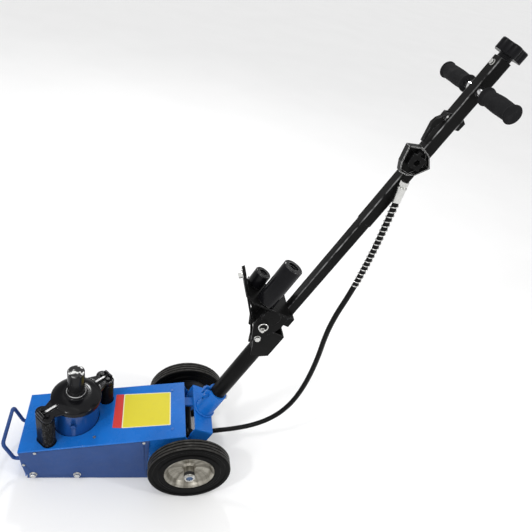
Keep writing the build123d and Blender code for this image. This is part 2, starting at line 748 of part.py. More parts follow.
def make_ram_adapter():
    """Loose adapter that stands in the ram's socket."""
    with BuildPart() as ram_adapter:
        ring(Plane.XY.offset(NECK_TOP_Z + 0.2), ADAPTER_RADIUS, 0, ADAPTER_TOP_Z - NECK_TOP_Z - 0.2)
        ring(Plane.XY.offset(NECK_TOP_Z - 26), 10.9, 0, 26.2)
        chamfer(ram_adapter.faces().sort_by(Axis.Z)[-1].edges(), 1.8)
        chamfer(ram_adapter.faces().sort_by(Axis.Z)[0].edges(), 1.5)
    save(ram_adapter, "ram_adapter")


# ------------------------------------------------------------------ lower handle
def make_handle_yoke():
    """Bent yoke that pivots on the axle: a web across the handle and a cheek each side."""
    half_width = 70.0
    cheek = 5.0
    front = 27.0
    rear = -22.0
    with BuildPart() as handle_yoke:
        for sign in SIDES.values():
            outer = -half_width if sign < 0 else half_width - cheek
            with BuildSketch(beside_handle(outer)):
                outline(
                    [
                        (-4, -19),
                        (WEB_ALONG - 26, rear),
                        (WEB_ALONG, rear),
                        (WEB_ALONG, front),
                        (WEB_ALONG - 26, front),
                        (4, 19),
                    ]
                )
                Circle(20.0)
                Circle(AXLE_RADIUS + RUNNING_CLEARANCE, mode=Mode.SUBTRACT)
            extrude(amount=-cheek)
        with BuildSketch(across_handle(WEB_ALONG - 5)):
            with Locations(((front + rear) / 2, 0)):
                Rectangle(front - rear, 2 * half_width)
        extrude(amount=5.0)
        top_edges = handle_yoke.faces().sort_by(Axis(handle_point(0), HANDLE_DIRECTION))[-1].edges()
        fillet(top_edges.filter_by(lambda edge: abs(edge.length - front + rear) < 0.5), 4.0)
    save(handle_yoke, "handle_yoke")


def make_handle_socket():
    """Split socket welded on the yoke's web, with two clamp ears at its front."""
    outer = 24.0
    length = SOCKET_END - WEB_ALONG
    with BuildPart() as handle_socket:
        ring(across_handle(WEB_ALONG), outer, 0, length)
        ring(across_handle(WEB_ALONG), outer + 2.5, 0, 3.0)
        with BuildSketch(across_handle(SOCKET_END - 26)):
            with Locations((outer + 2, -7), (outer + 2, 7)):
                Rectangle(14.0, 5.0)
        extrude(amount=26.0)
        with BuildSketch(across_handle(WEB_ALONG)):
            Circle(LOWER_TUBE_RADIUS)
        extrude(amount=length, mode=Mode.SUBTRACT)
        with BuildSketch(across_handle(SOCKET_END - 40)):
            with Locations((outer, 0)):
                Rectangle(20.0, 9.0)
        extrude(amount=40.0, mode=Mode.SUBTRACT)
        with BuildSketch(facing(handle_point(SOCKET_END - 13, outer + 4, 20), (0, -1, 0))):
            Circle(3.0)
        extrude(amount=40.0, mode=Mode.SUBTRACT)
        with BuildSketch(facing(handle_point(SOCKET_END - 9, -12, 0), HANDLE_FRONT * -1, (0, 1, 0))):
            Circle(4.0)
        extrude(amount=20.0, mode=Mode.SUBTRACT)
    save(handle_socket, "handle_socket")


def make_socket_screws():
    """Pinch bolt through the socket's ears and the set screw behind it."""
    with BuildPart() as socket_screws:
        pinch = facing(handle_point(SOCKET_END - 13, 28, 9.5), (0, -1, 0))
        ring(pinch, 3.0, 0, 19.0)
        place(pinch.offset(19.0), hexagon_head(10.0, 4.5))
        with BuildSketch(pinch):
            RegularPolygon(radius=5.0, side_count=6, major_radius=False)
        extrude(amount=-4.5)
        set_screw = facing(handle_point(SOCKET_END - 9, -19, 0), HANDLE_FRONT * -1, (0, 1, 0))
        ring(set_screw, 4.0, 0, 6.0)
        place(set_screw.offset(5.5), hexagon_head(10.0, 5.0))
    save(socket_screws, "socket_screws")


def make_lower_tube():
    """Round lower tube from the socket into the fold bracket."""
    with BuildPart() as lower_tube:
        start = WEB_ALONG + 3
        ring(across_handle(start), LOWER_TUBE_RADIUS, LOWER_TUBE_RADIUS - 2.5, LOWER_TUBE_END - start)
    save(lower_tube, "lower_tube")


def make_fold_bracket_lower():
    """Channel on the lower tube: two cheeks that carry the fold pin, and a web behind."""
    inner = 19.3
    cheek = 4.0
    web_start = 333.0
    web_end = 398.0
    rear = -24.0
    with BuildPart() as bracket:
        for outer in (-inner - cheek, inner):
            with BuildSketch(beside_handle(outer)):
                outline(
                    [
                        (318, 14),
                        (322, -6),
                        (web_start, rear),
                        (web_end, rear + 2),
                        (web_end, 10),
                        (FOLD_ALONG + 18, 30),
                        (LOCK_ALONG, LOCK_FRONT - 9),
                        (LOCK_ALONG + 7, LOCK_FRONT - 5),
                        (LOCK_ALONG + 7, LOCK_FRONT + 5),
                        (LOCK_ALONG, LOCK_FRONT + 9),
                        (FOLD_ALONG, FOLD_FRONT + 11),
                        (345, 26),
                    ]
                )
                with Locations((FOLD_ALONG, FOLD_FRONT), (LOCK_ALONG, LOCK_FRONT)):
                    Circle(5.0 + RUNNING_CLEARANCE, mode=Mode.SUBTRACT)
            extrude(amount=-cheek)
        with BuildSketch(across_handle(web_start)):
            with Locations((rear + 2, 0)):
                Rectangle(4.0, 2 * inner + 2 * cheek)
        extrude(amount=web_end - web_start)
        with BuildSketch(across_handle(334)):
            Rectangle(2 * LOWER_TUBE_RADIUS + 6, 2 * inner + 0.4)
            Circle(LOWER_TUBE_RADIUS, mode=Mode.SUBTRACT)
        extrude(amount=6.0)
    save(bracket, "fold_bracket_lower")


def make_fold_pin():
    """Fold pin through both brackets, with a head and a nut outside the upper bracket."""
    half_length = 28.4
    with BuildPart() as fold_pin:
        head = facing(handle_point(FOLD_ALONG, FOLD_FRONT, -half_length), (0, -1, 0))
        ring(facing(handle_point(FOLD_ALONG, FOLD_FRONT, half_length), (0, -1, 0)), 5.0, 0, 2 * half_length)
        place(head, hexagon_head(12.0, 5.0, 7.5, 1.2))
        nut = facing(handle_point(FOLD_ALONG, FOLD_FRONT, half_length), (0, 1, 0))
        place(nut, hexagon_head(12.0, 5.0, 7.5, 1.2))
    save(fold_pin, "fold_pin")


# ------------------------------------------------------------------ upper handle
def make_fold_bracket_upper():
    """Outer cheeks over the lower bracket, a front web and the collar that takes the mid tube."""
    inner = 23.7
    cheek = 4.0
    with BuildPart() as bracket:
        for outer in (-inner - cheek, inner):
            with BuildSketch(beside_handle(outer)):
                outline(
                    [
                        (FOLD_ALONG - 11, FOLD_FRONT - 6),
                        (FOLD_ALONG - 11, FOLD_FRONT + 8),
                        (402, 62),
                        (454, 62),
                        (461.5, 55),
                        (461.5, 20),
                        (452, 4),
                        (424, 2),
                        (405, 8),
                        (FOLD_ALONG + 12, FOLD_FRONT - 12),
                    ]
                )
                with Locations((FOLD_ALONG, FOLD_FRONT), (LOCK_ALONG, LOCK_FRONT)):
                    Circle(5.0 + RUNNING_CLEARANCE, mode=Mode.SUBTRACT)
            extrude(amount=-cheek)
        with BuildSketch(across_handle(414)):
            with Locations((60, 0)):
                Rectangle(4.0, 2 * inner + 0.4)
        extrude(amount=38.0)
        with BuildSketch(across_handle(428)):
            with Locations((1, 0)):
                Rectangle(28.0, 2 * inner + 0.4)
            Rectangle(MID_TUBE_SIZE, MID_TUBE_SIZE, mode=Mode.SUBTRACT)
        extrude(amount=24.0)
        ring(facing(handle_point(439, 40, -inner - cheek), (0, -1, 0)), 21.0, 0, 5.0)
        chamfer(bracket.faces().sort_by(Axis.Y)[0].edges(), 1.5)
    save(bracket, "fold_bracket_upper")


def square_tube(name, start, end, size, wall):
    """Square handle tube with rounded corners."""
    with BuildPart() as tube:
        with BuildSketch(across_handle(start)):
            RectangleRounded(size, size, 2.0)
            RectangleRounded(size - 2 * wall, size - 2 * wall, 1.0, mode=Mode.SUBTRACT)
        extrude(amount=end - start)
    save(tube, name)


def make_upper_tube():
    """Top square tube, with the T bar's holes, the lever's ears and the band behind them."""
    with BuildPart() as upper_tube:
        with BuildSketch(across_handle(UPPER_TUBE_START)):
            RectangleRounded(UPPER_TUBE_SIZE, UPPER_TUBE_SIZE, 2.0)
        extrude(amount=UPPER_TUBE_END - UPPER_TUBE_START)
        with BuildSketch(beside_handle(UPPER_TUBE_SIZE / 2)):
            outline([(937, -10), (940, -19), (955, -20), (960, -10)])
        extrude(amount=UPPER_TUBE_SIZE)
        for outer in (-8.0, 5.0):
            with BuildSketch(beside_handle(outer)):
                outline([(940, 10), (943, 19.5), (953, 19.5), (957, 10)])
                with Locations((TRIGGER_ALONG, TRIGGER_FRONT)):
                    Circle(2.0 + RUNNING_CLEARANCE, mode=Mode.SUBTRACT)
            extrude(amount=-3.0)
        with BuildSketch(across_handle(UPPER_TUBE_START)):
            RectangleRounded(MID_TUBE_SIZE, MID_TUBE_SIZE, 1.5)
        extrude(amount=UPPER_TUBE_END - UPPER_TUBE_START, mode=Mode.SUBTRACT)
        with BuildSketch(facing(handle_point(T_BAR_ALONG, 0, 20), (0, -1, 0))):
            Circle(T_BAR_RADIUS)
        extrude(amount=40.0, mode=Mode.SUBTRACT)
    save(upper_tube, "upper_tube")


def make_t_bar():
    """Bright cross bar through the top tube."""
    with BuildPart() as t_bar:
        start = facing(handle_point(T_BAR_ALONG, 0, T_BAR_HALF - 3), (0, -1, 0))
        ring(start, T_BAR_RADIUS, 0, 2 * T_BAR_HALF - 6)
        with BuildSketch(across_handle(T_BAR_ALONG - 15)):
            Circle(5.0)
        extrude(amount=30.0, mode=Mode.SUBTRACT)
    save(t_bar, "t_bar")


def make_grips():
    """Foam grip on each end of the cross bar, swollen at the middle and flanged at both ends."""
    start = 33.0
    length = T_BAR_HALF - start
    for name, sign in SIDES.items():
        with BuildPart() as grip:
            with BuildSketch(Plane.XY):
                with BuildLine():
                    Polyline((0, T_BAR_RADIUS), (0, 15.5), (4, 15.5), (6, 12.8))
                    ThreePointArc((6, 12.8), (length / 2, 14.2), (length - 6, 13.4))
                    Polyline(
                        (length - 6, 13.4),
                        (length - 4, 15.5),
                        (length, 14.8),
                        (length, 0),
                        (length - 3, 0),
                        (length - 3, T_BAR_RADIUS),
                        (0, T_BAR_RADIUS),
                    )
                make_face()
            revolve(axis=Axis.X)
        inner_end = handle_point(T_BAR_ALONG, 0, sign * start)
        spot = Plane(origin=inner_end, x_dir=(0, sign, 0), z_dir=HANDLE_DIRECTION)
        grip.part = grip.part.moved(spot.location)
        save(grip, f"grip_{name}")


def make_adapter_rack():
    """Shelf, gusset and front arm on the upper handle, with a post for each stored adapter."""
    shelf_front = 120.0
    with BuildPart() as adapter_rack:
        with BuildSketch(across_handle(SHELF_ALONG - 4)):
            with Locations(((shelf_front + 11.5) / 2, 0)):
                Rectangle(shelf_front - 11.5, 88.0)
            with Locations((shelf_front, 44), (shelf_front, -44)):
                Circle(14.0, mode=Mode.SUBTRACT)
        extrude(amount=4.0)
        with BuildSketch(beside_handle(3)):
            outline([(462, 12), (462, 116), (454, 112), (412, 62), (454, 62), (458, 30)])
        extrude(amount=6.0)
        with BuildSketch(beside_handle(11)):
            outline([RACK_ARM_FOOT, (402, 62), (506, 146), RACK_ARM_TOP])
        extrude(amount=22.0)
        for front, y in ADAPTER_PLACES.values():
            ring(across_handle(SHELF_ALONG, front, y), 8.0, 0, 18.0)
    save(adapter_rack, "adapter_rack")


def make_stored_adapters():
    """Two spare adapters, each with a socket that slips over its post."""
    sizes = {"long": (21.5, 101.0), "short": (18.0, 36.0)}
    for name, (radius, length) in sizes.items():
        front, y = ADAPTER_PLACES[name]
        seat = across_handle(SHELF_ALONG + 0.2, front, y)
        with BuildPart() as adapter:
            ring(seat, radius, 0, length)
            chamfer(adapter.edges().filter_by(GeomType.CIRCLE), 1.6)
            with BuildSketch(seat):
                Circle(8.4)
            extrude(amount=22.0, mode=Mode.SUBTRACT)
            with BuildSketch(seat.offset(length)):
                Circle(radius * 0.55)
            extrude(amount=-6.0, mode=Mode.SUBTRACT)
        save(adapter, f"spare_adapter_{name}")


def make_handle_bolts():
    """Bolt at the top of the rack's arm, the lever's pivot pin and the nut by the knob."""
    with BuildPart() as handle_bolts:
        arm = Vector(*RACK_ARM_TOP) - Vector(*RACK_ARM_FOOT)
        near_top = Vector(*RACK_ARM_FOOT) + arm * 0.92
        outward = HANDLE_FRONT * arm.X - HANDLE_DIRECTION * arm.Y
        seat = facing(handle_point(near_top.X, near_top.Y), outward, (0, 1, 0))
        place(seat, hexagon_head(15.0, 8.0, 10.5, 2.0))
        ring(facing(handle_point(TRIGGER_ALONG, TRIGGER_FRONT, 8.5), (0, -1, 0)), 2.0, 0, 17.0)
        top = facing(handle_point(1052, UPPER_TUBE_SIZE / 2, 0), HANDLE_FRONT, (0, 1, 0))
        place(top, hexagon_head(8.0, 4.0, 5.2, 0.8))
    save(handle_bolts, "handle_bolts")


# ------------------------------------------------------------------ air valve, trigger and hose
def make_valve_bracket():
    """Open sheet-metal shroud on the left of the top tube, round the air valve."""
    wall = 2.0
    depth = 15.0
    points = [(833, 4), (832, 30), (847, 40), (877, 49), (887, 25), (882, 3), (864, -16)]
    with BuildPart() as valve_bracket:
        with BuildSketch(beside_handle(VALVE_Y)):
            outline(points)
        extrude(amount=depth)
        with BuildSketch(beside_handle(VALVE_Y - wall)):
            outline(points)
            offset(amount=-wall, mode=Mode.REPLACE)
        extrude(amount=depth, mode=Mode.SUBTRACT)
        with BuildSketch(across_handle(820, 7, HOSE_Y)):
            Circle(6.5)
        extrude(amount=40.0, mode=Mode.SUBTRACT)
    save(valve_bracket, "valve_bracket")


def make_air_valve():
    """Valve block inside the shroud, with a round barrel up to the lever."""
    with BuildPart() as air_valve:
        with BuildSketch(beside_handle(VALVE_Y - 2)):
            outline([(848, -1), (848, 26), (872, 30), (872, -1)])
        extrude(amount=11.0)
        ring(across_handle(872, 18, VALVE_Y - 8), 5.0, 0, 6.0)
        face_y = VALVE_Y - 13
        bore(facing(handle_point(860, 12.5, face_y), (0, 1, 0)), 5.8, 9.0)
    save(air_valve, "air_valve")


def make_hose_fitting():
    """Bright hose coupling below the valve: a hexagon, a swaged sleeve and its collar."""
    with BuildPart() as hose_fitting:
        start = Vector(*HOSE_ROUTE[0])
        top = facing(start, Vector(*HOSE_ROUTE[1]) - start, (0, 1, 0))
        place(top.offset(-42), hexagon_head(14.0, 10.0))
        ring(top.offset(-33), 6.0, 0, 5.0)
        ring(top.offset(-30), 7.6, 0, 30.0)
        ring(top.offset(-30), 8.4, 0, 3.0)
    save(hose_fitting, "hose_fitting")


def make_trigger():
    """Squeeze lever on the front of the top tube, hinged above the valve."""
    with BuildPart() as trigger:
        with BuildSketch(beside_handle(4.8)):
            outline(
                [
                    (892, 19.5),
                    (926, 29),
                    (936, 27),
                    (944, 21),
                    (953, 19),
                    (953, 13),
                    (938, 15),
                    (920, 20),
                    (892, 16.5),
                ]
            )
            with Locations((TRIGGER_ALONG, TRIGGER_FRONT)):
                Circle(2.0 + RUNNING_CLEARANCE, mode=Mode.SUBTRACT)
        extrude(amount=9.6)
    save(trigger, "trigger_lever")


def make_release_rods():
    """Release knob and its rod in the upper handle, and the lower rod that it turns when unfolded."""
    lobes = 5
    thickness = 19.0
    claw_along = LOWER_TUBE_END + 1
    tongue = 3.0
    with BuildPart() as release_knob:
        ring(across_handle(UPPER_TUBE_END + 0.5), 12.5, 0, 7.0)
        with BuildSketch(across_handle(UPPER_TUBE_END + 7)):
            Circle(KNOB_RADIUS - 5)
            with PolarLocations(KNOB_RADIUS - 9.5, lobes):
                Circle(9.5)
        extrude(amount=thickness)
        fillet(release_knob.faces().sort_by(Axis(handle_point(0), HANDLE_DIRECTION))[-1].edges(), 2.5)
    save(release_knob, "release_knob")

    with BuildPart() as rod_upper:
        ring(across_handle(claw_along), 4.5, 0, UPPER_TUBE_END - claw_along + 0.5)
        ring(across_handle(claw_along), 9.0, 0, 5.0)
        with BuildSketch(across_handle(claw_along - 3)):
            Rectangle(14.0, tongue)
        extrude(amount=3.5)
    save(rod_upper, "release_rod_upper")

    with BuildPart() as rod_lower:
        ring(across_handle(WEB_ALONG + 6), 4.5, 0, LOWER_TUBE_END - WEB_ALONG - 6)
        ring(across_handle(LOWER_TUBE_END - 4), 9.0, 0, 4.0)
        ring(across_handle(WEB_ALONG + 6), 9.0, 0, 5.0)
        with BuildSketch(across_handle(claw_along - 3.6)):
            Rectangle(20.0, tongue + 0.4)
        extrude(amount=5.0, mode=Mode.SUBTRACT)
    save(rod_lower, "release_rod_lower")


def make_lock_pin():
    """Sprung lock pin with its pull ring, in the left cheek of the upper fold bracket."""
    ring_radius = 10.0
    tip_y = -24.0
    shank = 9.0
    with BuildPart() as lock_pin:
        tip = facing(handle_point(LOCK_ALONG, LOCK_FRONT, tip_y), (0, -1, 0))
        ring(tip, 5.0, 0, shank)
        ring(tip.offset(shank), 6.2, 0, 4.0)
        ring(tip.offset(shank + 4), 3.5, 0, 5.0)
        ring_y = tip_y - shank - 6.5
        centre = handle_point(LOCK_ALONG, LOCK_FRONT, ring_y) + Vector(0, 0, ring_radius)
        with Locations(facing(centre, (0, -1, 0))):
            Torus(ring_radius, 1.3)
    save(lock_pin, "lock_pin")


def route_radii(route):
    """Largest tangent arc that each inner point's two runs allow."""
    radii = []
    for before, here, after in zip(route, route[1:], route[2:]):
        first = Vector(*here) - Vector(*before)
        second = Vector(*after) - Vector(*here)
        turn = first.get_angle(second)
        radii.append(0.45 * min(first.length, second.length) / tan(radians(turn / 2)))
    return radii


def make_hose():
    """Air hose from the coupling down to the swivel on the axle."""
    radii = route_radii(HOSE_ROUTE)
    print("hose radii", [round(radius) for radius in radii])
    with BuildPart() as air_hose:
        with BuildLine():
            path = FilletPolyline(*HOSE_ROUTE, radius=radii)
        start = Vector(*HOSE_ROUTE[0])
        with BuildSketch(facing(start, Vector(*HOSE_ROUTE[1]) - start, (0, 1, 0))):
            Circle(HOSE_DIAMETER / 2)
        sweep(path=path)
    expected = path.length * pi * (HOSE_DIAMETER / 2) ** 2
    ratio = air_hose.part.volume / expected
    print("hose length", round(path.length, 1), "volume ratio", round(ratio, 4))
    save(air_hose, "air_hose")


def make_hose_guard():
    """Coil guard over the hose's first stretch, as one tube of the coil's size."""
    end = (Vector(*HOSE_ROUTE[3]) + Vector(*HOSE_ROUTE[4])) / 2
    route = HOSE_ROUTE[:4] + [tuple(end)]
    radii = route_radii(HOSE_ROUTE[:5])
    with BuildPart() as hose_guard:
        with BuildLine():
            path = FilletPolyline(*route, radius=radii)
        start = Vector(*route[0])
        with BuildSketch(facing(start, Vector(*route[1]) - start, (0, 1, 0))):
            Circle(HOSE_DIAMETER / 2 + 2.2)
            Circle(HOSE_DIAMETER / 2 + 0.2, mode=Mode.SUBTRACT)
        sweep(path=path)
    save(hose_guard, "hose_guard")


def make_hose_swivel():
    """Swivel eye round the axle that takes the hose's lower end."""
    with BuildPart() as hose_swivel:
        eye = facing((AXLE_X, HOSE_Y - 9, AXLE_Z), (0, 1, 0))
        ring(eye, 17.0, 0, 18.0)
        end = Vector(*HOSE_ROUTE[-1])
        direction = (end - Vector(*HOSE_ROUTE[-2])).normalized()
        ring(facing(end, direction, (0, 1, 0)), 7.5, 0, 14.0)
        with BuildSketch(eye):
            Circle(AXLE_RADIUS + RUNNING_CLEARANCE)
        extrude(amount=18.0, mode=Mode.SUBTRACT)
    save(hose_swivel, "hose_swivel")


# ------------------------------------------------------------------ make everything
for side_name, side_sign in SIDES.items():
    make_tyre(f"tyre_{side_name}", side_sign)
    make_rim(f"rim_{side_name}", side_sign)
make_axle()
make_axle_nuts()
make_base_tray()
make_hydraulic_base()
make_cylinder()
make_spring_guards()
make_return_springs()
make_rear_frame()
make_side_panels()
make_front_plate()
make_carry_handle()
make_top_cover()
make_body_screws()
make_panel_bolts()
make_air_motor()
make_release_valve()
make_ram()
make_lift_yoke()
make_yoke_bolts()
make_ram_adapter()
make_handle_yoke()
make_handle_socket()
make_socket_screws()
make_lower_tube()
make_fold_bracket_lower()
make_fold_pin()
make_fold_bracket_upper()
square_tube("mid_tube", MID_TUBE_START, 760.0, MID_TUBE_SIZE, 2.0)
make_upper_tube()
make_t_bar()
make_grips()
make_adapter_rack()
make_stored_adapters()
make_handle_bolts()
make_valve_bracket()
make_air_valve()
make_hose_fitting()
make_trigger()
make_release_rods()
make_lock_pin()
make_hose()
make_hose_guard()
make_hose_swivel()
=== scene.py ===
from math import cos, radians, sin, tau

import bmesh
import bpy
from mathutils import Matrix, Vector


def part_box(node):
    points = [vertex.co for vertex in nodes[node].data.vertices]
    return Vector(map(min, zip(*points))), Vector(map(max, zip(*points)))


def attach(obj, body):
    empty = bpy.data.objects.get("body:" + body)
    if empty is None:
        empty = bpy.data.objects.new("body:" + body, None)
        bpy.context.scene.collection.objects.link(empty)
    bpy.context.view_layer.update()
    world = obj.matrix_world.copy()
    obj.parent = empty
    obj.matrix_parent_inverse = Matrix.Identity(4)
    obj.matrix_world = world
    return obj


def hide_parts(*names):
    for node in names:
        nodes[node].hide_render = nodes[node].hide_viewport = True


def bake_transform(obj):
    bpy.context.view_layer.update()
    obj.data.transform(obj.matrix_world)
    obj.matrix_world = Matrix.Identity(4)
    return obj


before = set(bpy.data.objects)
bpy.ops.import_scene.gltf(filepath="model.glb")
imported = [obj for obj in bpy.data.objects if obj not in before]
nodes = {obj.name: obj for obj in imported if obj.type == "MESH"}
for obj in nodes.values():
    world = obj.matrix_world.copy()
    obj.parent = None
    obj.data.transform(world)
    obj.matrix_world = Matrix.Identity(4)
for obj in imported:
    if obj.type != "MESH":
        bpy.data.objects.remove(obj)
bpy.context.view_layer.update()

MM = 0.001

# ---------------------------------------------------------------- geometry shared with the CAD
# Plain lengths are in millimetres here and below, and Vector points are in metres
HANDLE_ANGLE = radians(67.9)
AXLE = Vector((0.278, 0, 0.100))
HANDLE_DIRECTION = Vector((cos(HANDLE_ANGLE), 0, sin(HANDLE_ANGLE)))
HANDLE_FRONT = Vector((-sin(HANDLE_ANGLE), 0, cos(HANDLE_ANGLE)))
SIDES = {"left": -1, "right": 1}
T_BAR_ALONG = 1007
SPRING_X, SPRING_Y, SPRING_SPREAD = 61.0, 57.0, 10.5
# Length and height of the sloping cover's top face at its two ends
COVER_FRONT = (-120, 108)
COVER_REAR = (262, 177.5)


def handle_point(along, front=0.0, side=0.0):
    """Point in metres from millimetres up the handle, to its front and to the right."""
    return AXLE + HANDLE_DIRECTION * along * MM + HANDLE_FRONT * front * MM + Vector((0, side * MM, 0))


def cover_point(x, y, lift=0.0):
    """Point in metres on the sloping cover's top face, lifted off it, from millimetres."""
    slope = (COVER_REAR[1] - COVER_FRONT[1]) / (COVER_REAR[0] - COVER_FRONT[0])
    normal = Vector((-slope, 0, 1)).normalized()
    return (Vector((x, y, COVER_FRONT[1] + (x - COVER_FRONT[0]) * slope)) + normal * lift) * MM


# ---------------------------------------------------------------- camera
CAMERA_PLACE = (0.1181, -0.8385, 1.2241)
CAMERA_YAW, CAMERA_PITCH, CAMERA_ROLL = 0.255, 0.634, 0.230
CAMERA_LENS, CAMERA_SENSOR = 35.04, 36.0
CAMERA_SHIFT = (0.0417, 0.0310)


def make_camera():
    """Camera that looks along yaw and pitch, with the horizon turned by roll."""
    yaw, pitch, roll = CAMERA_YAW, CAMERA_PITCH, CAMERA_ROLL
    forward = Vector((sin(yaw) * cos(pitch), cos(yaw) * cos(pitch), -sin(pitch)))
    right = Vector((cos(yaw), -sin(yaw), 0))
    up = right.cross(forward)
    x_axis = right * cos(roll) + up * sin(roll)
    y_axis = up * cos(roll) - right * sin(roll)
    matrix = Matrix((x_axis, y_axis, -forward)).transposed().to_4x4()
    matrix.translation = CAMERA_PLACE
    data = bpy.data.cameras.new("camera")
    data.sensor_width = CAMERA_SENSOR
    data.lens = CAMERA_LENS
    data.shift_x, data.shift_y = CAMERA_SHIFT
    data.clip_start = 0.01
    camera = bpy.data.objects.new("camera", data)
    camera.matrix_world = matrix
    bpy.context.scene.collection.objects.link(camera)
    bpy.context.scene.camera = camera


make_camera()


# ---------------------------------------------------------------- mesh helpers
def add_object(name, mesh, smooth=True):
    """New object in the scene with that mesh, shaded smooth or flat."""
    for polygon in mesh.polygons:
        polygon.use_smooth = smooth
    obj = bpy.data.objects.new(name, mesh)
    bpy.context.scene.collection.objects.link(obj)
    return obj


def add_mesh(name, vertices, faces, smooth=True):
    mesh = bpy.data.meshes.new(name)
    mesh.from_pydata([tuple(v) for v in vertices], [], faces)
    mesh.validate()
    mesh.update()
    return add_object(name, mesh, smooth)


def frames_along(points):
    """A pair of directions square to the line at each of its points, with no twist between them."""
    tangents = []
    for i, _ in enumerate(points):
        ahead = points[min(i + 1, len(points) - 1)]
        behind = points[max(i - 1, 0)]
        tangents.append((ahead - behind).normalized())
    side = tangents[0].orthogonal().normalized()
    result = []
    for tangent in tangents:
        side = (side - tangent * side.dot(tangent)).normalized()
        result.append((side, tangent.cross(side)))
    return result


def skin(name, vertices, sides):
    """Closed mesh over rings of vertices, each ring with that many, capped at both ends."""
    faces = []
    last = len(vertices) - sides
    for start in range(0, last, sides):
        for k in range(sides):
            a, b = start + k, start + (k + 1) % sides
            faces.append((a, b, b + sides, a + sides))
    faces.append(tuple(reversed(range(sides))))
    faces.append(tuple(range(last, last + sides)))
    return add_mesh(name, vertices, faces)


def tube(name, points, radius, sides):
    """Closed mesh tube of round section along the points."""
    vertices = []
    for point, (u, v) in zip(points, frames_along(points)):
        for k in range(sides):
            angle = tau * k / sides
            vertices.append(point + (u * cos(angle) + v * sin(angle)) * radius)
    return skin(name, vertices, sides)


def lathe(name, origin, direction, profile, sides, wobble):
    """Closed solid of revolution.

    profile holds (distance along the axis, radius), and wobble(distance, angle) is added to the
    radius, all in millimetres.
    """
    u = direction.orthogonal().normalized()
    v = direction.cross(u)
    vertices = []
    for t, r in profile:
        for k in range(sides):
            angle = tau * k / sides
            radial = (u * cos(angle) + v * sin(angle)) * (r + wobble(t, angle)) * MM
            vertices.append(origin + direction * t * MM + radial)
    return skin(name, vertices, sides)


# ---------------------------------------------------------------- materials
class Shader:
    """One node material, with short calls for the nodes that most surfaces need."""

    def __init__(self, name):
        self.material = bpy.data.materials.new(name)
        self.material.use_nodes = True
        self.tree = self.material.node_tree
        self.surface = self.tree.nodes["Principled BSDF"]
        self.place = self.add("ShaderNodeTexCoord").outputs["Object"]

    def add(self, kind, values=(), links=(), **settings):
        node = self.tree.nodes.new(kind)
        for key, value in settings.items():
            setattr(node, key, value)
        for key, value in dict(values).items():
            node.inputs[key].default_value = value
        for key, output in dict(links).items():
            self.tree.links.new(output, node.inputs[key])
        return node

    def noise(self, scale, detail=4.0, rough=0.55, stretch=None):
        place = self.place
        if stretch:
            mapping = self.add("ShaderNodeMapping", {"Scale": stretch}, {"Vector": place})
            place = mapping.outputs["Vector"]
        values = {"Scale": scale, "Detail": detail, "Roughness": rough}
        return self.add("ShaderNodeTexNoise", values, {"Vector": place}).outputs["Fac"]

    def spread(self, source, low, high, to_low=0.0, to_high=1.0):
        """The part of source from low to high, spread over a new range."""
        values = {"From Min": low, "From Max": high, "To Min": to_low, "To Max": to_high}
        return self.add("ShaderNodeMapRange", values, {"Value": source}, clamp=True).outputs["Result"]

    def axes(self, vector=None):
        """The X, Y and Z of a vector, or of the place on the surface."""
        return self.add("ShaderNodeSeparateXYZ", links={"Vector": vector or self.place}).outputs

    def math(self, operation, a, b=0.0):
        node = self.add("ShaderNodeMath", operation=operation)
        for socket, value in zip(node.inputs, (a, b)):
            if isinstance(value, (int, float)):
                socket.default_value = value
            else:
                self.tree.links.new(value, socket)
        return node.outputs[0]

    def times(self, first, *others):
        for other in others:
            first = self.math("MULTIPLY", first, other)
        return first

    def mix(self, factor, a, b):
        """Colour a where factor is 0 and b where it is 1; each is a colour or a socket."""
        node = self.add("ShaderNodeMix", data_type="RGBA")
        for index, value in ((0, factor), (6, a), (7, b)):
            if isinstance(value, tuple):
                node.inputs[index].default_value = (*value, 1.0)
            elif isinstance(value, float):
                node.inputs[index].default_value = value
            else:
                self.tree.links.new(value, node.inputs[index])
        return node.outputs[2]

    def link(self, output, name):
        self.tree.links.new(output, self.surface.inputs[name])

    def cover(self, mask, colour, metallic=None):
        """Another colour over the one so far where mask is 1, and how metallic it is there."""
        below = self.surface.inputs["Base Color"].links[0].from_socket
        self.link(self.mix(mask, below, colour), "Base Color")
        if metallic:
            self.link(self.times(mask, metallic), "Metallic")

    def bump(self, height, strength, distance):
        previous = self.surface.inputs["Normal"].links
        links = {"Height": height}
        if previous:
            links["Normal"] = previous[0].from_socket
        values = {"Strength": strength, "Distance": distance}
        self.link(self.add("ShaderNodeBump", values, links).outputs["Normal"], "Normal")

    def edge(self, radius):
        """Mask of the outer edges, from how far a rounded normal turns from the true one."""
        rounded = self.add("ShaderNodeBevel", {"Radius": radius}, samples=4).outputs["Normal"]
        true = self.add("ShaderNodeNewGeometry").outputs["Normal"]
        dot = self.add("ShaderNodeVectorMath", operation="DOT_PRODUCT")
        self.tree.links.new(rounded, dot.inputs[0])
        self.tree.links.new(true, dot.inputs[1])
        return self.spread(dot.outputs["Value"], 0.995, 0.90)

    def constants(self, **values):
        for name, value in values.items():
            self.surface.inputs[name.replace("_", " ")].default_value = value


# How far wear reaches in from an edge, in metres
WORN_EDGE = 0.0011

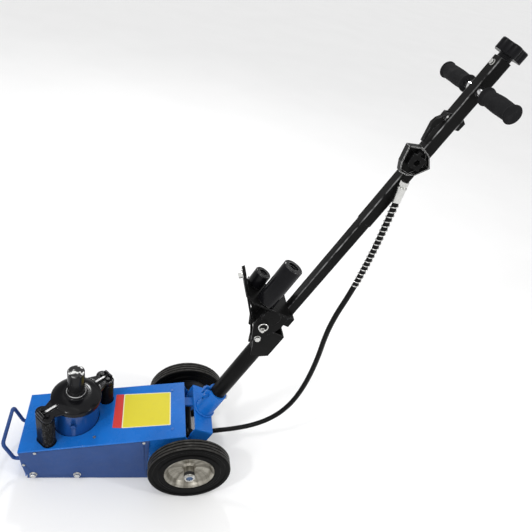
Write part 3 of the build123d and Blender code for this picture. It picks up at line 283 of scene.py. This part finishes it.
# Bands over which a finish, a painted shade or a painted highlight changes: where the change starts and
# where it is full, in metres
# Radius and end of the painted shade ring at the wheel's hub
HUB_SHADE_RADIUS = (0.0190, 0.0178)
HUB_SHADE_END = (0.1345, 0.1365)
AXLE_BARE_END = (0.1430, 0.1434)
# Tops of the tyre's ribs: lighter as scuffs and as a painted highlight
TREAD_RADIUS = (0.0985, 0.0995)
ADAPTER_WORN_TOP = (0.2950, 0.2985)
# The yoke's arm ridges and neck rim below carry painted highlights
YOKE_RIDGE_INNER, YOKE_RIDGE_OUTER = (0.053, 0.057), (0.083, 0.079)
YOKE_RIDGE_WIDTH = (0.0031, 0.0022)
YOKE_RIDGE_HEIGHT = (0.2185, 0.2205)
YOKE_RIM_HEIGHT = (0.2300, 0.2312)
YOKE_RIM_RADIUS = (0.0208, 0.0216)
BODY_SCREWS_PAINTED = (0.200, 0.210)
CLAMP_SCREWS_PAINTED = (0.322, 0.316)


def painted(
    name,
    colour,
    deep,
    roughness,
    chip=0.0,
    coat=0.0,
    dust=0.25,
    sheen=0.35,
    under=(0.30, 0.30, 0.31),
    wear=0.50,
):
    """Sprayed or powder-coated metal: slow drift of colour, orange peel, rubs, chips and dust."""
    s = Shader(name)
    drift = s.spread(s.noise(9.0, 3.0), 0.35, 0.65)
    body = s.mix(drift, colour, deep)
    settled = s.times(s.spread(s.noise(70.0, 8.0, 0.7), 0.48, 0.75), dust)
    grey = tuple(0.6 * c + 0.4 * 0.30 for c in colour)
    body = s.mix(settled, body, grey)
    rubs = s.spread(s.noise(55.0, 6.0, 0.7, (1.0, 7.0, 3.0)), 0.62, 0.78)
    rough = s.spread(s.noise(26.0, 6.0, 0.6), 0.3, 0.7, roughness - 0.06, roughness + 0.09)
    rough = s.math("ADD", rough, s.times(rubs, 0.12))
    if chip:
        broken = s.spread(s.noise(160.0, 6.0, 0.75), wear, wear + 0.08)
        mask = s.times(s.edge(WORN_EDGE), broken, chip)
        body = s.mix(mask, body, under)
        s.link(s.times(mask, 0.8), "Metallic")
    s.link(body, "Base Color")
    s.link(rough, "Roughness")
    s.bump(s.noise(700.0, 2.0), 0.12, 0.0004)
    s.bump(s.noise(38.0, 3.0), 0.06, 0.001)
    s.constants(Specular_IOR_Level=sheen)
    if coat:
        s.constants(Coat_Weight=coat, Coat_Roughness=0.10)
    return s


def metal(name, colour, roughness, streak, scale, grain, tarnish, dark=None):
    """Bare or plated metal: streaks from tooling and cloudy tarnish."""
    s = Shader(name)
    shade = dark or tuple(c * 0.55 for c in colour)
    clouds = s.spread(s.noise(48.0, 7.0, 0.65), 0.42, 0.72)
    streaks = s.noise(scale, 4.0, 0.6, streak)
    body = s.mix(s.times(clouds, tarnish), colour, shade)
    body = s.mix(s.spread(streaks, 0.45, 0.80, 0.0, 0.35), body, shade)
    s.link(body, "Base Color")
    rough = s.spread(streaks, 0.3, 0.7, roughness - 0.07, roughness + 0.09)
    s.link(s.math("ADD", rough, s.times(clouds, 0.10)), "Roughness")
    s.bump(streaks, grain, 0.0003)
    s.constants(Metallic=1.0)
    return s


def rubbery(name, colour, dusty, roughness, pore, depth, scuff, sheen=0.25):
    """Rubber, foam, plastic or film: fine grain, pale scuffs and a dull, uneven sheen."""
    s = Shader(name)
    scuffs = s.spread(s.noise(60.0, 8.0, 0.75), 0.50, 0.80)
    body = s.mix(s.times(scuffs, scuff), colour, dusty)
    clean = s.spread(s.noise(8.0, 3.0), 0.35, 0.65, 0.0, 0.5)
    s.link(s.mix(clean, body, colour), "Base Color")
    rough = s.spread(s.noise(90.0, 5.0, 0.6), 0.3, 0.7, roughness - 0.08, roughness + 0.08)
    s.link(rough, "Roughness")
    s.bump(s.noise(pore, 3.0, 0.7), depth, 0.0006)
    s.constants(Specular_IOR_Level=sheen)
    return s


def around_axle(s):
    """How far a place is behind the axle's middle line, above it and away from it."""
    axes = s.axes()
    behind = s.math("SUBTRACT", axes["X"], AXLE.x)
    above = s.math("SUBTRACT", axes["Z"], AXLE.z)
    squares = s.math("ADD", s.math("POWER", behind, 2.0), s.math("POWER", above, 2.0))
    return behind, above, s.math("SQRT", squares)


def worn_adapter(name):
    """Black finish rubbed through to steel at the adapter's top and along its edges."""
    deep = (0.012, 0.012, 0.013)
    s = painted(name, (0.007, 0.007, 0.008), deep, 0.22, dust=0.03, sheen=0.16)
    patch = s.spread(s.noise(60.0, 5.0, 0.6), 0.53, 0.57)
    top = s.times(s.spread(s.axes()["Z"], *ADAPTER_WORN_TOP), patch)
    rim = s.times(s.edge(WORN_EDGE), s.spread(s.noise(120.0, 6.0, 0.7), 0.46, 0.56))
    s.cover(s.math("MAXIMUM", top, rim), (0.66, 0.66, 0.65), 0.6)
    return s


def tube_black(name, size):
    """Black paint on a square handle tube of that size, lighter along its four corners: part rubbed
    wear, part a painted edge highlight.
    """
    deep = (0.007, 0.007, 0.007)
    s = painted(name, (0.004, 0.004, 0.004), deep, 0.28, chip=0.5, dust=0.015, sheen=0.07)
    offset = s.add("ShaderNodeVectorMath", {1: AXLE}, {0: s.place}, operation="SUBTRACT")
    links = {0: offset.outputs["Vector"]}
    front = s.add("ShaderNodeVectorMath", {1: HANDLE_FRONT}, links, operation="DOT_PRODUCT")
    reach = s.math(
        "ADD", s.math("ABSOLUTE", front.outputs["Value"]), s.math("ABSOLUTE", s.axes()["Y"])
    )
    outer = s.spread(reach, size - 0.0021, size - 0.0013)
    inner = s.spread(reach, size + 0.001, size)
    rubbed = s.spread(s.noise(30.0, 8.0, 0.7, (1.0, 3.0, 1.0)), 0.42, 0.62)
    # Lighter corners: part rubbed wear, part painted highlight along the edges
    s.cover(s.times(outer, inner, rubbed), (0.30, 0.30, 0.30), 0.6)
    return s


def cast_black(name):
    """Gloss black on the cast yoke, with a painted highlight along its arms' ridges and round its
    neck's rim.
    """
    s = painted(name, (0.003, 0.003, 0.004), (0.006, 0.006, 0.007), 0.13, dust=0.01, sheen=0.15)
    axes = s.axes()
    arm = Vector((SPRING_X, SPRING_Y)).normalized()
    along = s.math("ADD", s.times(axes["X"], arm.x), s.times(axes["Y"], arm.y))
    across = s.math("SUBTRACT", s.times(axes["Y"], arm.x), s.times(axes["X"], arm.y))
    reach = s.math("ABSOLUTE", along)
    # Painted highlight along each arm's ridge
    ridge_highlight = s.times(
        s.spread(reach, *YOKE_RIDGE_INNER),
        s.spread(reach, *YOKE_RIDGE_OUTER),
        s.spread(s.math("ABSOLUTE", across), *YOKE_RIDGE_WIDTH),
        s.spread(axes["Z"], *YOKE_RIDGE_HEIGHT),
    )
    level = s.add("ShaderNodeVectorMath", {1: (1.0, 1.0, 0.0)}, {0: s.place}, operation="MULTIPLY")
    radius = s.add("ShaderNodeVectorMath", links={0: level.outputs[0]}, operation="LENGTH")
    # Painted highlight round the neck's rim
    rim = s.times(
        s.spread(axes["Z"], *YOKE_RIM_HEIGHT),
        s.spread(radius.outputs["Value"], *YOKE_RIM_RADIUS),
        0.6,
    )
    patchy = s.spread(s.noise(45.0, 6.0, 0.6), 0.34, 0.50)
    s.cover(s.times(s.math("MAXIMUM", ridge_highlight, rim), patchy), (0.72, 0.72, 0.72), 0.5)
    return s


def part_painted(name, band):
    """Bright screws, of which those past a band of lengths were painted over with the blue."""
    s = metal(name, (0.60, 0.60, 0.58), 0.28, (1.0, 1.0, 3.0), 300.0, 0.08, 0.25)
    over = s.spread(s.axes()["X"], *band)
    s.cover(over, (0.008, 0.115, 0.43))
    s.link(s.spread(over, 0.0, 1.0, 1.0, 0.0), "Metallic")
    return s


def pressed_rim(name):
    """Plated wheel dish, lightly browned, with painted reflections as darker radial sectors, dull black
    on its back, and painted shade at its hub's end.
    """
    bright, brown = (0.46, 0.44, 0.385), (0.24, 0.22, 0.18)
    s = metal(name, bright, 0.44, (1.0, 1.0, 1.0), 190.0, 0.05, 0.30, brown)
    behind, above, radius = around_axle(s)
    across = s.axes()["Y"]
    # Darker radial sectors round the axle: painted reflection streaks
    angle = s.math("ARCTAN2", above, behind)
    scale = {"Scale": 2.2, "Detail": 5.0}
    reflection_sectors = s.add("ShaderNodeTexNoise", scale, {"W": angle}, noise_dimensions="1D")
    s.cover(s.spread(reflection_sectors.outputs["Fac"], 0.38, 0.62, 0.0, 0.75), (0.105, 0.095, 0.075))
    normal = s.add("ShaderNodeNewGeometry").outputs["Normal"]
    outward = s.times(s.math("SIGN", across), s.axes(normal)["Y"])
    back = s.spread(outward, -0.15, -0.45)
    # Dark ring at the hub's end: painted shade
    hub_shade = s.spread(s.math("ABSOLUTE", across), *HUB_SHADE_END)
    # Near-black on the back faces, and painted shade at the hub's end
    dark = s.math("MAXIMUM", back, s.times(s.spread(radius, *HUB_SHADE_RADIUS), hub_shade))
    s.cover(dark, (0.010, 0.010, 0.011))
    s.link(s.spread(dark, 0.0, 1.0, 1.0, 0.15), "Metallic")
    tangent = s.add("ShaderNodeTangent", direction_type="RADIAL", axis="Y").outputs["Tangent"]
    s.link(tangent, "Tangent")
    s.constants(Anisotropic=0.35)
    return s


def axle_black(name):
    """Black axle with blue-passivated threaded ends."""
    deep = (0.009, 0.009, 0.009)
    s = painted(name, (0.005, 0.005, 0.005), deep, 0.34, chip=0.3, dust=0.03, sheen=0.1)
    end = s.spread(s.math("ABSOLUTE", s.axes()["Y"]), *AXLE_BARE_END)
    s.cover(end, (0.075, 0.125, 0.225), 0.6)
    return s


def tread_rubber(name):
    """Black tyre rubber, lighter on the ribs' tops: part scuffs from the floor, part a painted
    highlight.
    """
    fresh, dusty = (0.002, 0.002, 0.002), (0.008, 0.008, 0.007)
    s = rubbery(name, fresh, dusty, 0.34, 650.0, 0.22, 0.30, 0.04)
    ribs = s.spread(around_axle(s)[2], *TREAD_RADIUS)
    patchy = s.spread(s.noise(70.0, 8.0, 0.7, (1.0, 2.0, 1.0)), 0.35, 0.60, 0.35, 1.0)
    # Lighter rib tops: part scuffs, part painted highlight
    s.cover(s.times(ribs, patchy), (0.052, 0.050, 0.047))
    return s


blue = painted(
    "blue_paint",
    (0.008, 0.135, 0.50),
    (0.006, 0.110, 0.42),
    0.26,
    chip=0.5,
    coat=0.08,
    dust=0.05,
    sheen=0.18,
)
# Cover blue darkened for the reservoir and its plug: painted shade under the yoke
deep_blue = painted(
    "deep_blue",
    (0.006, 0.052, 0.215),
    (0.004, 0.040, 0.170),
    0.20,
    chip=0.4,
    coat=0.1,
    dust=0.04,
)
panel_blue = painted(
    "blue_panel",
    (0.026, 0.070, 0.225),
    (0.021, 0.056, 0.185),
    0.40,
    chip=0.4,
    dust=0.12,
    sheen=0.15,
)
black_gloss = painted(
    "black_gloss",
    (0.003, 0.003, 0.004),
    (0.006, 0.006, 0.007),
    0.14,
    chip=0.3,
    dust=0.01,
    sheen=0.13,
)
black = painted(
    "black_paint",
    (0.004, 0.004, 0.004),
    (0.007, 0.007, 0.007),
    0.30,
    chip=0.6,
    dust=0.015,
    sheen=0.07,
)
spare_black = painted(
    "spare_black",
    (0.003, 0.003, 0.004),
    (0.007, 0.007, 0.008),
    0.20,
    chip=1.0,
    dust=0.01,
    sheen=0.13,
    under=(0.45, 0.45, 0.44),
    wear=0.36,
)
worn_bracket = painted(
    "worn_bracket",
    (0.006, 0.006, 0.006),
    (0.010, 0.010, 0.010),
    0.34,
    chip=1.8,
    dust=0.02,
    sheen=0.08,
    under=(0.80, 0.80, 0.79),
    wear=0.40,
)
upper_tube_paint = tube_black("upper_tube_paint", 24 * MM)
mid_tube_paint = tube_black("mid_tube_paint", 22 * MM)
yoke_black = cast_black("yoke_black")
adapter_black = worn_adapter("adapter_black")
axle_paint = axle_black("axle_paint")
screws = part_painted("screws", BODY_SCREWS_PAINTED)
clamp_screws = part_painted("clamp_screws", CLAMP_SCREWS_PAINTED)
rim_plate = pressed_rim("rim_plate")
tyre_rubber = tread_rubber("tyre_rubber")

# Name, colour, roughness, stretch and scale of the streaks, their depth, and the tarnish
chrome, zinc, bright_zinc, steel, alloy = (
    metal(*row)
    for row in (
        ("chrome", (0.72, 0.72, 0.73), 0.12, (1.0, 14.0, 1.0), 160.0, 0.03, 0.15),
        ("zinc", (0.46, 0.45, 0.43), 0.34, (1.0, 1.0, 1.0), 300.0, 0.12, 0.45),
        ("bright_zinc", (0.66, 0.66, 0.64), 0.24, (1.0, 1.0, 3.0), 300.0, 0.08, 0.25),
        ("ground_steel", (0.50, 0.50, 0.51), 0.28, (1.0, 1.0, 16.0), 260.0, 0.10, 0.30),
        ("aluminium", (0.52, 0.53, 0.54), 0.40, (1.0, 1.0, 1.0), 420.0, 0.22, 0.30),
    )
)

# Name, colour, colour of its dust, roughness, scale and depth of the grain, scuffs and sheen
hose_rubber, foam, plastic, sticker_pale, sticker_yellow, sticker_red = (
    rubbery(*row)
    for row in (
        ("hose_rubber", (0.005,) * 3, (0.025,) * 3, 0.36, 1400.0, 0.12, 0.20, 0.10),
        ("foam", (0.012, 0.012, 0.013), (0.040, 0.040, 0.041), 0.80, 1500.0, 0.55, 0.5, 0.06),
        ("knob_plastic", (0.006, 0.006, 0.007), (0.028, 0.028, 0.029), 0.34, 1100.0, 0.10, 0.25, 0.09),
        ("sticker_pale", (0.74, 0.70, 0.42), (0.66, 0.62, 0.40), 0.42, 500.0, 0.05, 0.4),
        ("sticker_yellow", (0.62, 0.54, 0.028), (0.54, 0.47, 0.05), 0.42, 500.0, 0.05, 0.5),
        ("sticker_red", (0.55, 0.035, 0.030), (0.45, 0.06, 0.05), 0.42, 500.0, 0.05, 0.5),
    )
)

NODE_MATERIALS = {
    blue: ("top_cover", "front_plate", "rear_frame", "handle_yoke", "handle_socket"),
    # Painted shade: the darker copy of the cover blue
    deep_blue: ("reservoir", "filler_plug"),
    panel_blue: ("side_panel_left", "side_panel_right", "base_tray", "carry_handle"),
    black_gloss: ("cylinder_head", "lift_yoke", "yoke_bolts"),
    black: (
        "lower_tube",
        "fold_bracket_lower",
        "fold_bracket_upper",
        "adapter_rack",
        "trigger_lever",
        "air_valve",
        "hose_swivel",
        "spring_guard_left",
        "spring_guard_right",
    ),
    upper_tube_paint: ("upper_tube",),
    mid_tube_paint: ("mid_tube",),
    worn_bracket: ("valve_bracket",),
    screws: ("body_screws",),
    clamp_screws: ("socket_screws",),
    adapter_black: ("ram_adapter",),
    spare_black: ("spare_adapter_long", "spare_adapter_short"),
    chrome: ("ram", "t_bar"),
    rim_plate: ("rim_left", "rim_right"),
    axle_paint: ("wheel_axle",),
    zinc: (
        "release_rod_upper",
        "release_rod_lower",
        "return_spring_left",
        "return_spring_right",
    ),
    bright_zinc: (
        "axle_nuts",
        "panel_bolts",
        "fold_pin",
        "lock_pin",
        "handle_bolts",
        "hose_fitting",
    ),
    steel: ("ram_piston", "pressure_cylinder", "release_valve"),
    alloy: ("hydraulic_base", "air_motor_cylinder", "air_motor_cap", "air_piston"),
    tyre_rubber: ("tyre_left", "tyre_right"),
    hose_rubber: ("air_hose", "hose_guard"),
    foam: ("grip_left", "grip_right"),
    plastic: ("release_knob",),
}

# Rounding of the edges, in metres: the usual one, and those of single nodes
BEVEL_WIDTH = 0.0005
BEVEL_WIDTHS = {
    "handle_yoke": 0.0016,
    "fold_bracket_lower": 0.001,
    "fold_bracket_upper": 0.001,
    "ram_adapter": 0.0008,
}
UNBEVELLED = ("reservoir",)


def dress_nodes():
    """Gives every CAD node its material and a fine rounding of its edges."""
    for shader, names in NODE_MATERIALS.items():
        for name in names:
            obj = nodes[name]
            obj.data.materials.clear()
            obj.data.materials.append(shader.material)
            weld = obj.modifiers.new("weld", "WELD")
            weld.merge_threshold = 1e-6
            if name in UNBEVELLED:
                continue
            bevel = obj.modifiers.new("bevel", "BEVEL")
            bevel.width = BEVEL_WIDTHS.get(name, BEVEL_WIDTH)
            bevel.segments = 2
            bevel.limit_method = "ANGLE"
            bevel.angle_limit = radians(38)


dress_nodes()


def finish_piece(obj, shader, body):
    """Gives a piece its material and the body that it rides on."""
    obj.data.materials.clear()
    obj.data.materials.append(shader.material)
    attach(obj, body)


# ---------------------------------------------------------------- the air hose and its coil guard
HOSE_DIAMETER = 12
HOSE_Y = -25
HOSE_ROUTE = [
    (581, HOSE_Y, 822),
    (579, HOSE_Y, 764),
    (575, HOSE_Y, 706),
    (569, HOSE_Y, 648),
    (560, HOSE_Y, 590),
    (548, HOSE_Y, 533),
    (543, HOSE_Y, 474),
    (545, HOSE_Y, 414),
    (543, HOSE_Y, 354),
    (536, HOSE_Y, 294),
    (521, HOSE_Y, 236),
    (492, HOSE_Y, 186),
    (448, HOSE_Y, 151),
    (394, HOSE_Y, 131),
    (345, HOSE_Y, 122),
    (304, HOSE_Y, 110),
]
# Height of the guard's lower end, in metres
GUARD_END_Z = 0.6185
# Radius and pitch of the guard's wire, and how far its middle stands off the hose
GUARD_WIRE, GUARD_PITCH, GUARD_LIFT = 1.05, 10.6, 1.2
# Points in each turn of a coil
COIL_STEPS = 14


def hose_line():
    """Points along the smooth line through the hose's route."""
    curve = bpy.data.curves.new("hose_route", "CURVE")
    curve.dimensions = "3D"
    curve.resolution_u = 24
    spline = curve.splines.new("NURBS")
    spline.points.add(len(HOSE_ROUTE) - 1)
    for point, place in zip(spline.points, HOSE_ROUTE):
        point.co = (*(Vector(place) * MM), 1.0)
    spline.order_u = 3
    spline.use_endpoint_u = True
    holder = bpy.data.objects.new("hose_route", curve)
    bpy.context.scene.collection.objects.link(holder)
    bpy.context.view_layer.update()
    mesh = bpy.data.meshes.new_from_object(holder)
    points = [v.co.copy() for v in mesh.vertices]
    bpy.data.objects.remove(holder)
    bpy.data.meshes.remove(mesh)
    if points[0].z < points[-1].z:
        points.reverse()
    return points


def helix(points, radius, pitch):
    """Points of a coil of that radius and pitch, in millimetres, wound round a line."""
    frames = frames_along(points)
    result = []
    travelled = 0.0
    step = pitch * MM / COIL_STEPS
    target = 0.0
    for i in range(len(points) - 1):
        gap = (points[i + 1] - points[i]).length
        while target <= travelled + gap and gap > 0:
            f = (target - travelled) / gap
            centre = points[i].lerp(points[i + 1], f)
            u, v = (a.lerp(b, f).normalized() for a, b in zip(frames[i], frames[i + 1]))
            angle = tau * target / (pitch * MM)
            result.append(centre + (u * cos(angle) + v * sin(angle)) * radius * MM)
            target += step
        travelled += gap
    return result


def make_hose():
    """Hose along its route, with the bright wire coil that guards its upper stretch."""
    line = hose_line()
    hose = tube("hose", line, HOSE_DIAMETER / 2 * MM, 20)
    hose.data.materials.append(hose_rubber.material)
    guarded = [p for p in line if p.z >= GUARD_END_Z]
    coil = helix(guarded, HOSE_DIAMETER / 2 + GUARD_LIFT, GUARD_PITCH)
    guard = tube("hose_coil_guard", coil, GUARD_WIRE * MM, 8)
    finish_piece(guard, bright_zinc, "handle_upper")
    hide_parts("hose_guard")
    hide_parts("air_hose")
    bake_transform(hose)


make_hose()


# ---------------------------------------------------------------- cast lifting yoke
def make_cast_yoke():
    """The yoke again with a casting's soft edges, from its CAD shape."""
    source = nodes["lift_yoke"]
    work = bpy.data.objects.new("yoke_work", source.data.copy())
    bpy.context.scene.collection.objects.link(work)
    remesh = work.modifiers.new("remesh", "REMESH")
    remesh.mode = "VOXEL"
    remesh.voxel_size = 0.0011
    smooth = work.modifiers.new("smooth", "SMOOTH")
    smooth.factor = 0.5
    smooth.iterations = 9
    bpy.context.view_layer.update()
    depsgraph = bpy.context.evaluated_depsgraph_get()
    mesh = bpy.data.meshes.new_from_object(work.evaluated_get(depsgraph))
    bpy.data.objects.remove(work)
    yoke = add_object("cast_yoke", mesh)
    finish_piece(yoke, yoke_black, "ram_body")
    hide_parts("lift_yoke")


make_cast_yoke()


# ---------------------------------------------------------------- foam grips
GRIP_START = 33.0
# Distance along the grip and radius there
GRIP_PROFILE = [
    (0.3, 8.7),
    (0.3, 13.8),
    (1.0, 14.9),
    (2.4, 15.4),
    (3.9, 15.0),
    (5.2, 13.6),
    (6.8, 12.8),
    (14, 13.2),
    (28, 13.8),
    (42, 14.1),
    (56, 14.0),
    (68, 13.6),
    (76, 13.2),
    (78.6, 13.3),
    (80.2, 14.1),
    (81.4, 15.1),
    (82.8, 15.3),
    (84.1, 14.6),
    (84.7, 12.8),
    (84.8, 8.0),
    (84.8, 3.0),
]


def foam_wobble(t, angle):
    """Slight unevenness of the foam, in millimetres."""
    return 0.18 * sin(t * 0.31 + 2.0 * angle) + 0.12 * sin(t * 0.11 - 3.0 * angle + 1.3)


def make_grips():
    """Foam grips on the T bar, with a collar at each end of their barrel."""
    for name, sign in SIDES.items():
        origin = handle_point(T_BAR_ALONG, 0, sign * GRIP_START)
        outward = Vector((0, sign, 0))
        grip = lathe(f"foam_grip_{name}", origin, outward, GRIP_PROFILE, 72, foam_wobble)
        if sign < 0:
            grip.data.flip_normals()
        finish_piece(grip, foam, "handle_upper")
        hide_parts(f"grip_{name}")


make_grips()


# ---------------------------------------------------------------- return springs
# Radius and pitch of each coil, radius of its wire, and what is left free at its ends
SPRING_RADIUS, SPRING_PITCH, SPRING_WIRE = 7.6, 4.4, 1.2
SPRING_END = 1.5


def make_springs():
    """Two coils in each guard, made at one fixed length."""
    reach = Vector((SPRING_X, SPRING_Y)).length
    across = (SPRING_SPREAD * SPRING_Y / reach, SPRING_SPREAD * SPRING_X / reach)
    for name, sign in SIDES.items():
        low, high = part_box(f"return_spring_{name}")
        parts = []
        for k in (-1, 1):
            x = (sign * SPRING_X + k * across[0]) * MM
            y = (sign * SPRING_Y - k * across[1]) * MM
            ends = (low.z + SPRING_END * MM, high.z - SPRING_END * MM)
            coil = helix([Vector((x, y, z)) for z in ends], SPRING_RADIUS, SPRING_PITCH)
            parts.append(tube(f"coil_{name}_{k + 1}", coil, SPRING_WIRE * MM, 8))
        joined = bmesh.new()
        for part in parts:
            joined.from_mesh(part.data)
            bpy.data.objects.remove(part)
        mesh = bpy.data.meshes.new(f"return_coils_{name}")
        joined.to_mesh(mesh)
        joined.free()
        coils = add_object(f"return_coils_{name}", mesh)
        coils.data.materials.append(bright_zinc.material)
        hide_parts(f"return_spring_{name}")
        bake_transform(coils)


make_springs()


# ---------------------------------------------------------------- label on the cover
FILM_THICKNESS = 0.12
FILM_CORNER = 2.2
CORNER_STEPS = 6


def rounded(corners, radius):
    """Points of a closed outline, with each of its corners turned by a short curve."""
    result = []
    for i, corner in enumerate(corners):
        here = Vector(corner)
        before = (Vector(corners[i - 1]) - here).normalized() * radius
        after = (Vector(corners[(i + 1) % len(corners)]) - here).normalized() * radius
        for k in range(CORNER_STEPS + 1):
            t = k / CORNER_STEPS
            result.append(here + before * (1 - t) ** 2 + after * t**2)
    return result


def sticker(name, corners, lift, shader):
    """Thin plain film on the cover, with rounded corners, from corners in millimetres."""
    rim = rounded(corners, FILM_CORNER)
    count = len(rim)
    vertices = [cover_point(x, y, lift) for x, y in rim]
    vertices += [cover_point(x, y, lift + FILM_THICKNESS) for x, y in rim]
    faces = [tuple(reversed(range(count))), tuple(range(count, 2 * count))]
    for k in range(count):
        n = (k + 1) % count
        faces.append((k, n, n + count, k + count))
    film = add_mesh(name, vertices, faces, smooth=False)
    finish_piece(film, shader, "chassis")


sticker(
    "label_backing", [(110.5, -44.0), (226.5, -47.5), (227.5, 54.5), (110.5, 60.5)], 0.02, sticker_pale
)
sticker(
    "label_yellow", [(113.0, -42.2), (224.0, -45.2), (225.0, 52.4), (113.0, 58.3)], 0.16, sticker_yellow
)
sticker(
    "label_red", [(88.5, -40.5), (110.2, -43.5), (110.2, 60.5), (91.0, 61.5)], 0.02, sticker_red
)


# ---------------------------------------------------------------- weld bead
# Place along the handle, radius of the circle and radius of the bead
WELD_ALONG, WELD_RADIUS, WELD_BEAD = 86.6, 26.0, 2.4


def make_weld():
    """Rippled weld bead in a circle round the handle socket's foot."""
    centre = handle_point(WELD_ALONG)
    u = HANDLE_DIRECTION.orthogonal().normalized()
    v = HANDLE_DIRECTION.cross(u)
    around = 180
    sides = 8
    vertices = []
    faces = []
    for i in range(around):
        angle = tau * i / around
        out = u * cos(angle) + v * sin(angle)
        swell = WELD_BEAD * (1 + 0.16 * sin(angle * 36) + 0.07 * sin(angle * 11 + 1))
        for k in range(sides):
            turn = tau * k / sides
            place = out * (WELD_RADIUS + swell * cos(turn)) + HANDLE_DIRECTION * swell * sin(turn)
            vertices.append(centre + place * MM)
    for i in range(around):
        for k in range(sides):
            a = i * sides + k
            b = i * sides + (k + 1) % sides
            c = (i + 1) % around * sides + (k + 1) % sides
            d = (i + 1) % around * sides + k
            faces.append((a, b, c, d))
    ring = add_mesh("weld_socket", vertices, faces)
    ring.data.flip_normals()
    finish_piece(ring, blue, "handle_lower")


make_weld()


# ---------------------------------------------------------------- floor and light
FLOOR_HALF = 40.0
# Strength of the white surroundings at the horizon and from ZENITH_FROM upwards
HORIZON, ZENITH, ZENITH_FROM = 0.92, 0.36, 0.45
LIGHT_TARGET = Vector((0.25, 0, 0.3))
# Name, place, diameter and watts
LAMPS = [
    ("key", (-1.3, -1.5, 2.6), 0.22, 20.0),
    ("side", (2.0, -1.0, 1.7), 0.22, 9.0),
    ("back", (0.1, 2.2, 2.3), 0.28, 18.0),
]
# Name, direction that it shines from and strength
SUNS = [
    ("sun_left", (-3, -4, 6), 1.25),
    ("sun_rear", (3, 2, 6), 0.85),
]
SUN_ANGLE = radians(80)


def make_floor():
    reach = FLOOR_HALF
    corners = [(-reach, -reach, 0), (reach, -reach, 0), (reach, reach, 0), (-reach, reach, 0)]
    floor = add_mesh("floor", corners, [(0, 1, 2, 3)], smooth=False)
    s = Shader("floor")
    cloudy = s.spread(s.noise(2.0, 3.0), 0.3, 0.7)
    s.link(s.mix(cloudy, (0.90, 0.90, 0.90), (0.88, 0.88, 0.88)), "Base Color")
    s.link(s.spread(s.noise(30.0, 4.0), 0.3, 0.7, 0.8, 0.95), "Roughness")
    s.constants(Specular_IOR_Level=0.1)
    floor.data.materials.append(s.material)


def make_world():
    """White surroundings, dimmer overhead than at the horizon."""
    world = bpy.data.worlds.new("studio")
    world.use_nodes = True
    tree = world.node_tree
    background = tree.nodes["Background"]
    direction = tree.nodes.new("ShaderNodeTexCoord").outputs["Generated"]
    split = tree.nodes.new("ShaderNodeSeparateXYZ")
    tree.links.new(direction, split.inputs[0])
    fade = tree.nodes.new("ShaderNodeMapRange")
    fade.inputs["From Min"].default_value = 0.0
    fade.inputs["From Max"].default_value = ZENITH_FROM
    fade.inputs["To Min"].default_value = HORIZON
    fade.inputs["To Max"].default_value = ZENITH
    tree.links.new(split.outputs["Z"], fade.inputs["Value"])
    tree.links.new(fade.outputs["Result"], background.inputs["Strength"])
    background.inputs["Color"].default_value = (1.0, 1.0, 1.0, 1.0)
    bpy.context.scene.world = world
    bpy.context.scene.view_settings.view_transform = "Standard"


def aim(name, data, place):
    """Puts a light at a place and turns it towards the jack."""
    lamp = bpy.data.objects.new(name, data)
    lamp.location = place
    direction = LIGHT_TARGET - Vector(place)
    lamp.rotation_euler = direction.to_track_quat("-Z", "Y").to_euler()
    bpy.context.scene.collection.objects.link(lamp)


def make_lights():
    for name, place, size, power in LAMPS:
        data = bpy.data.lights.new(name, "AREA")
        data.shape = "DISK"
        data.size = size
        data.energy = power
        aim(name, data, place)
    for name, place, strength in SUNS:
        data = bpy.data.lights.new(name, "SUN")
        data.angle = SUN_ANGLE
        data.energy = strength
        aim(name, data, place)


make_floor()
make_world()
make_lights()
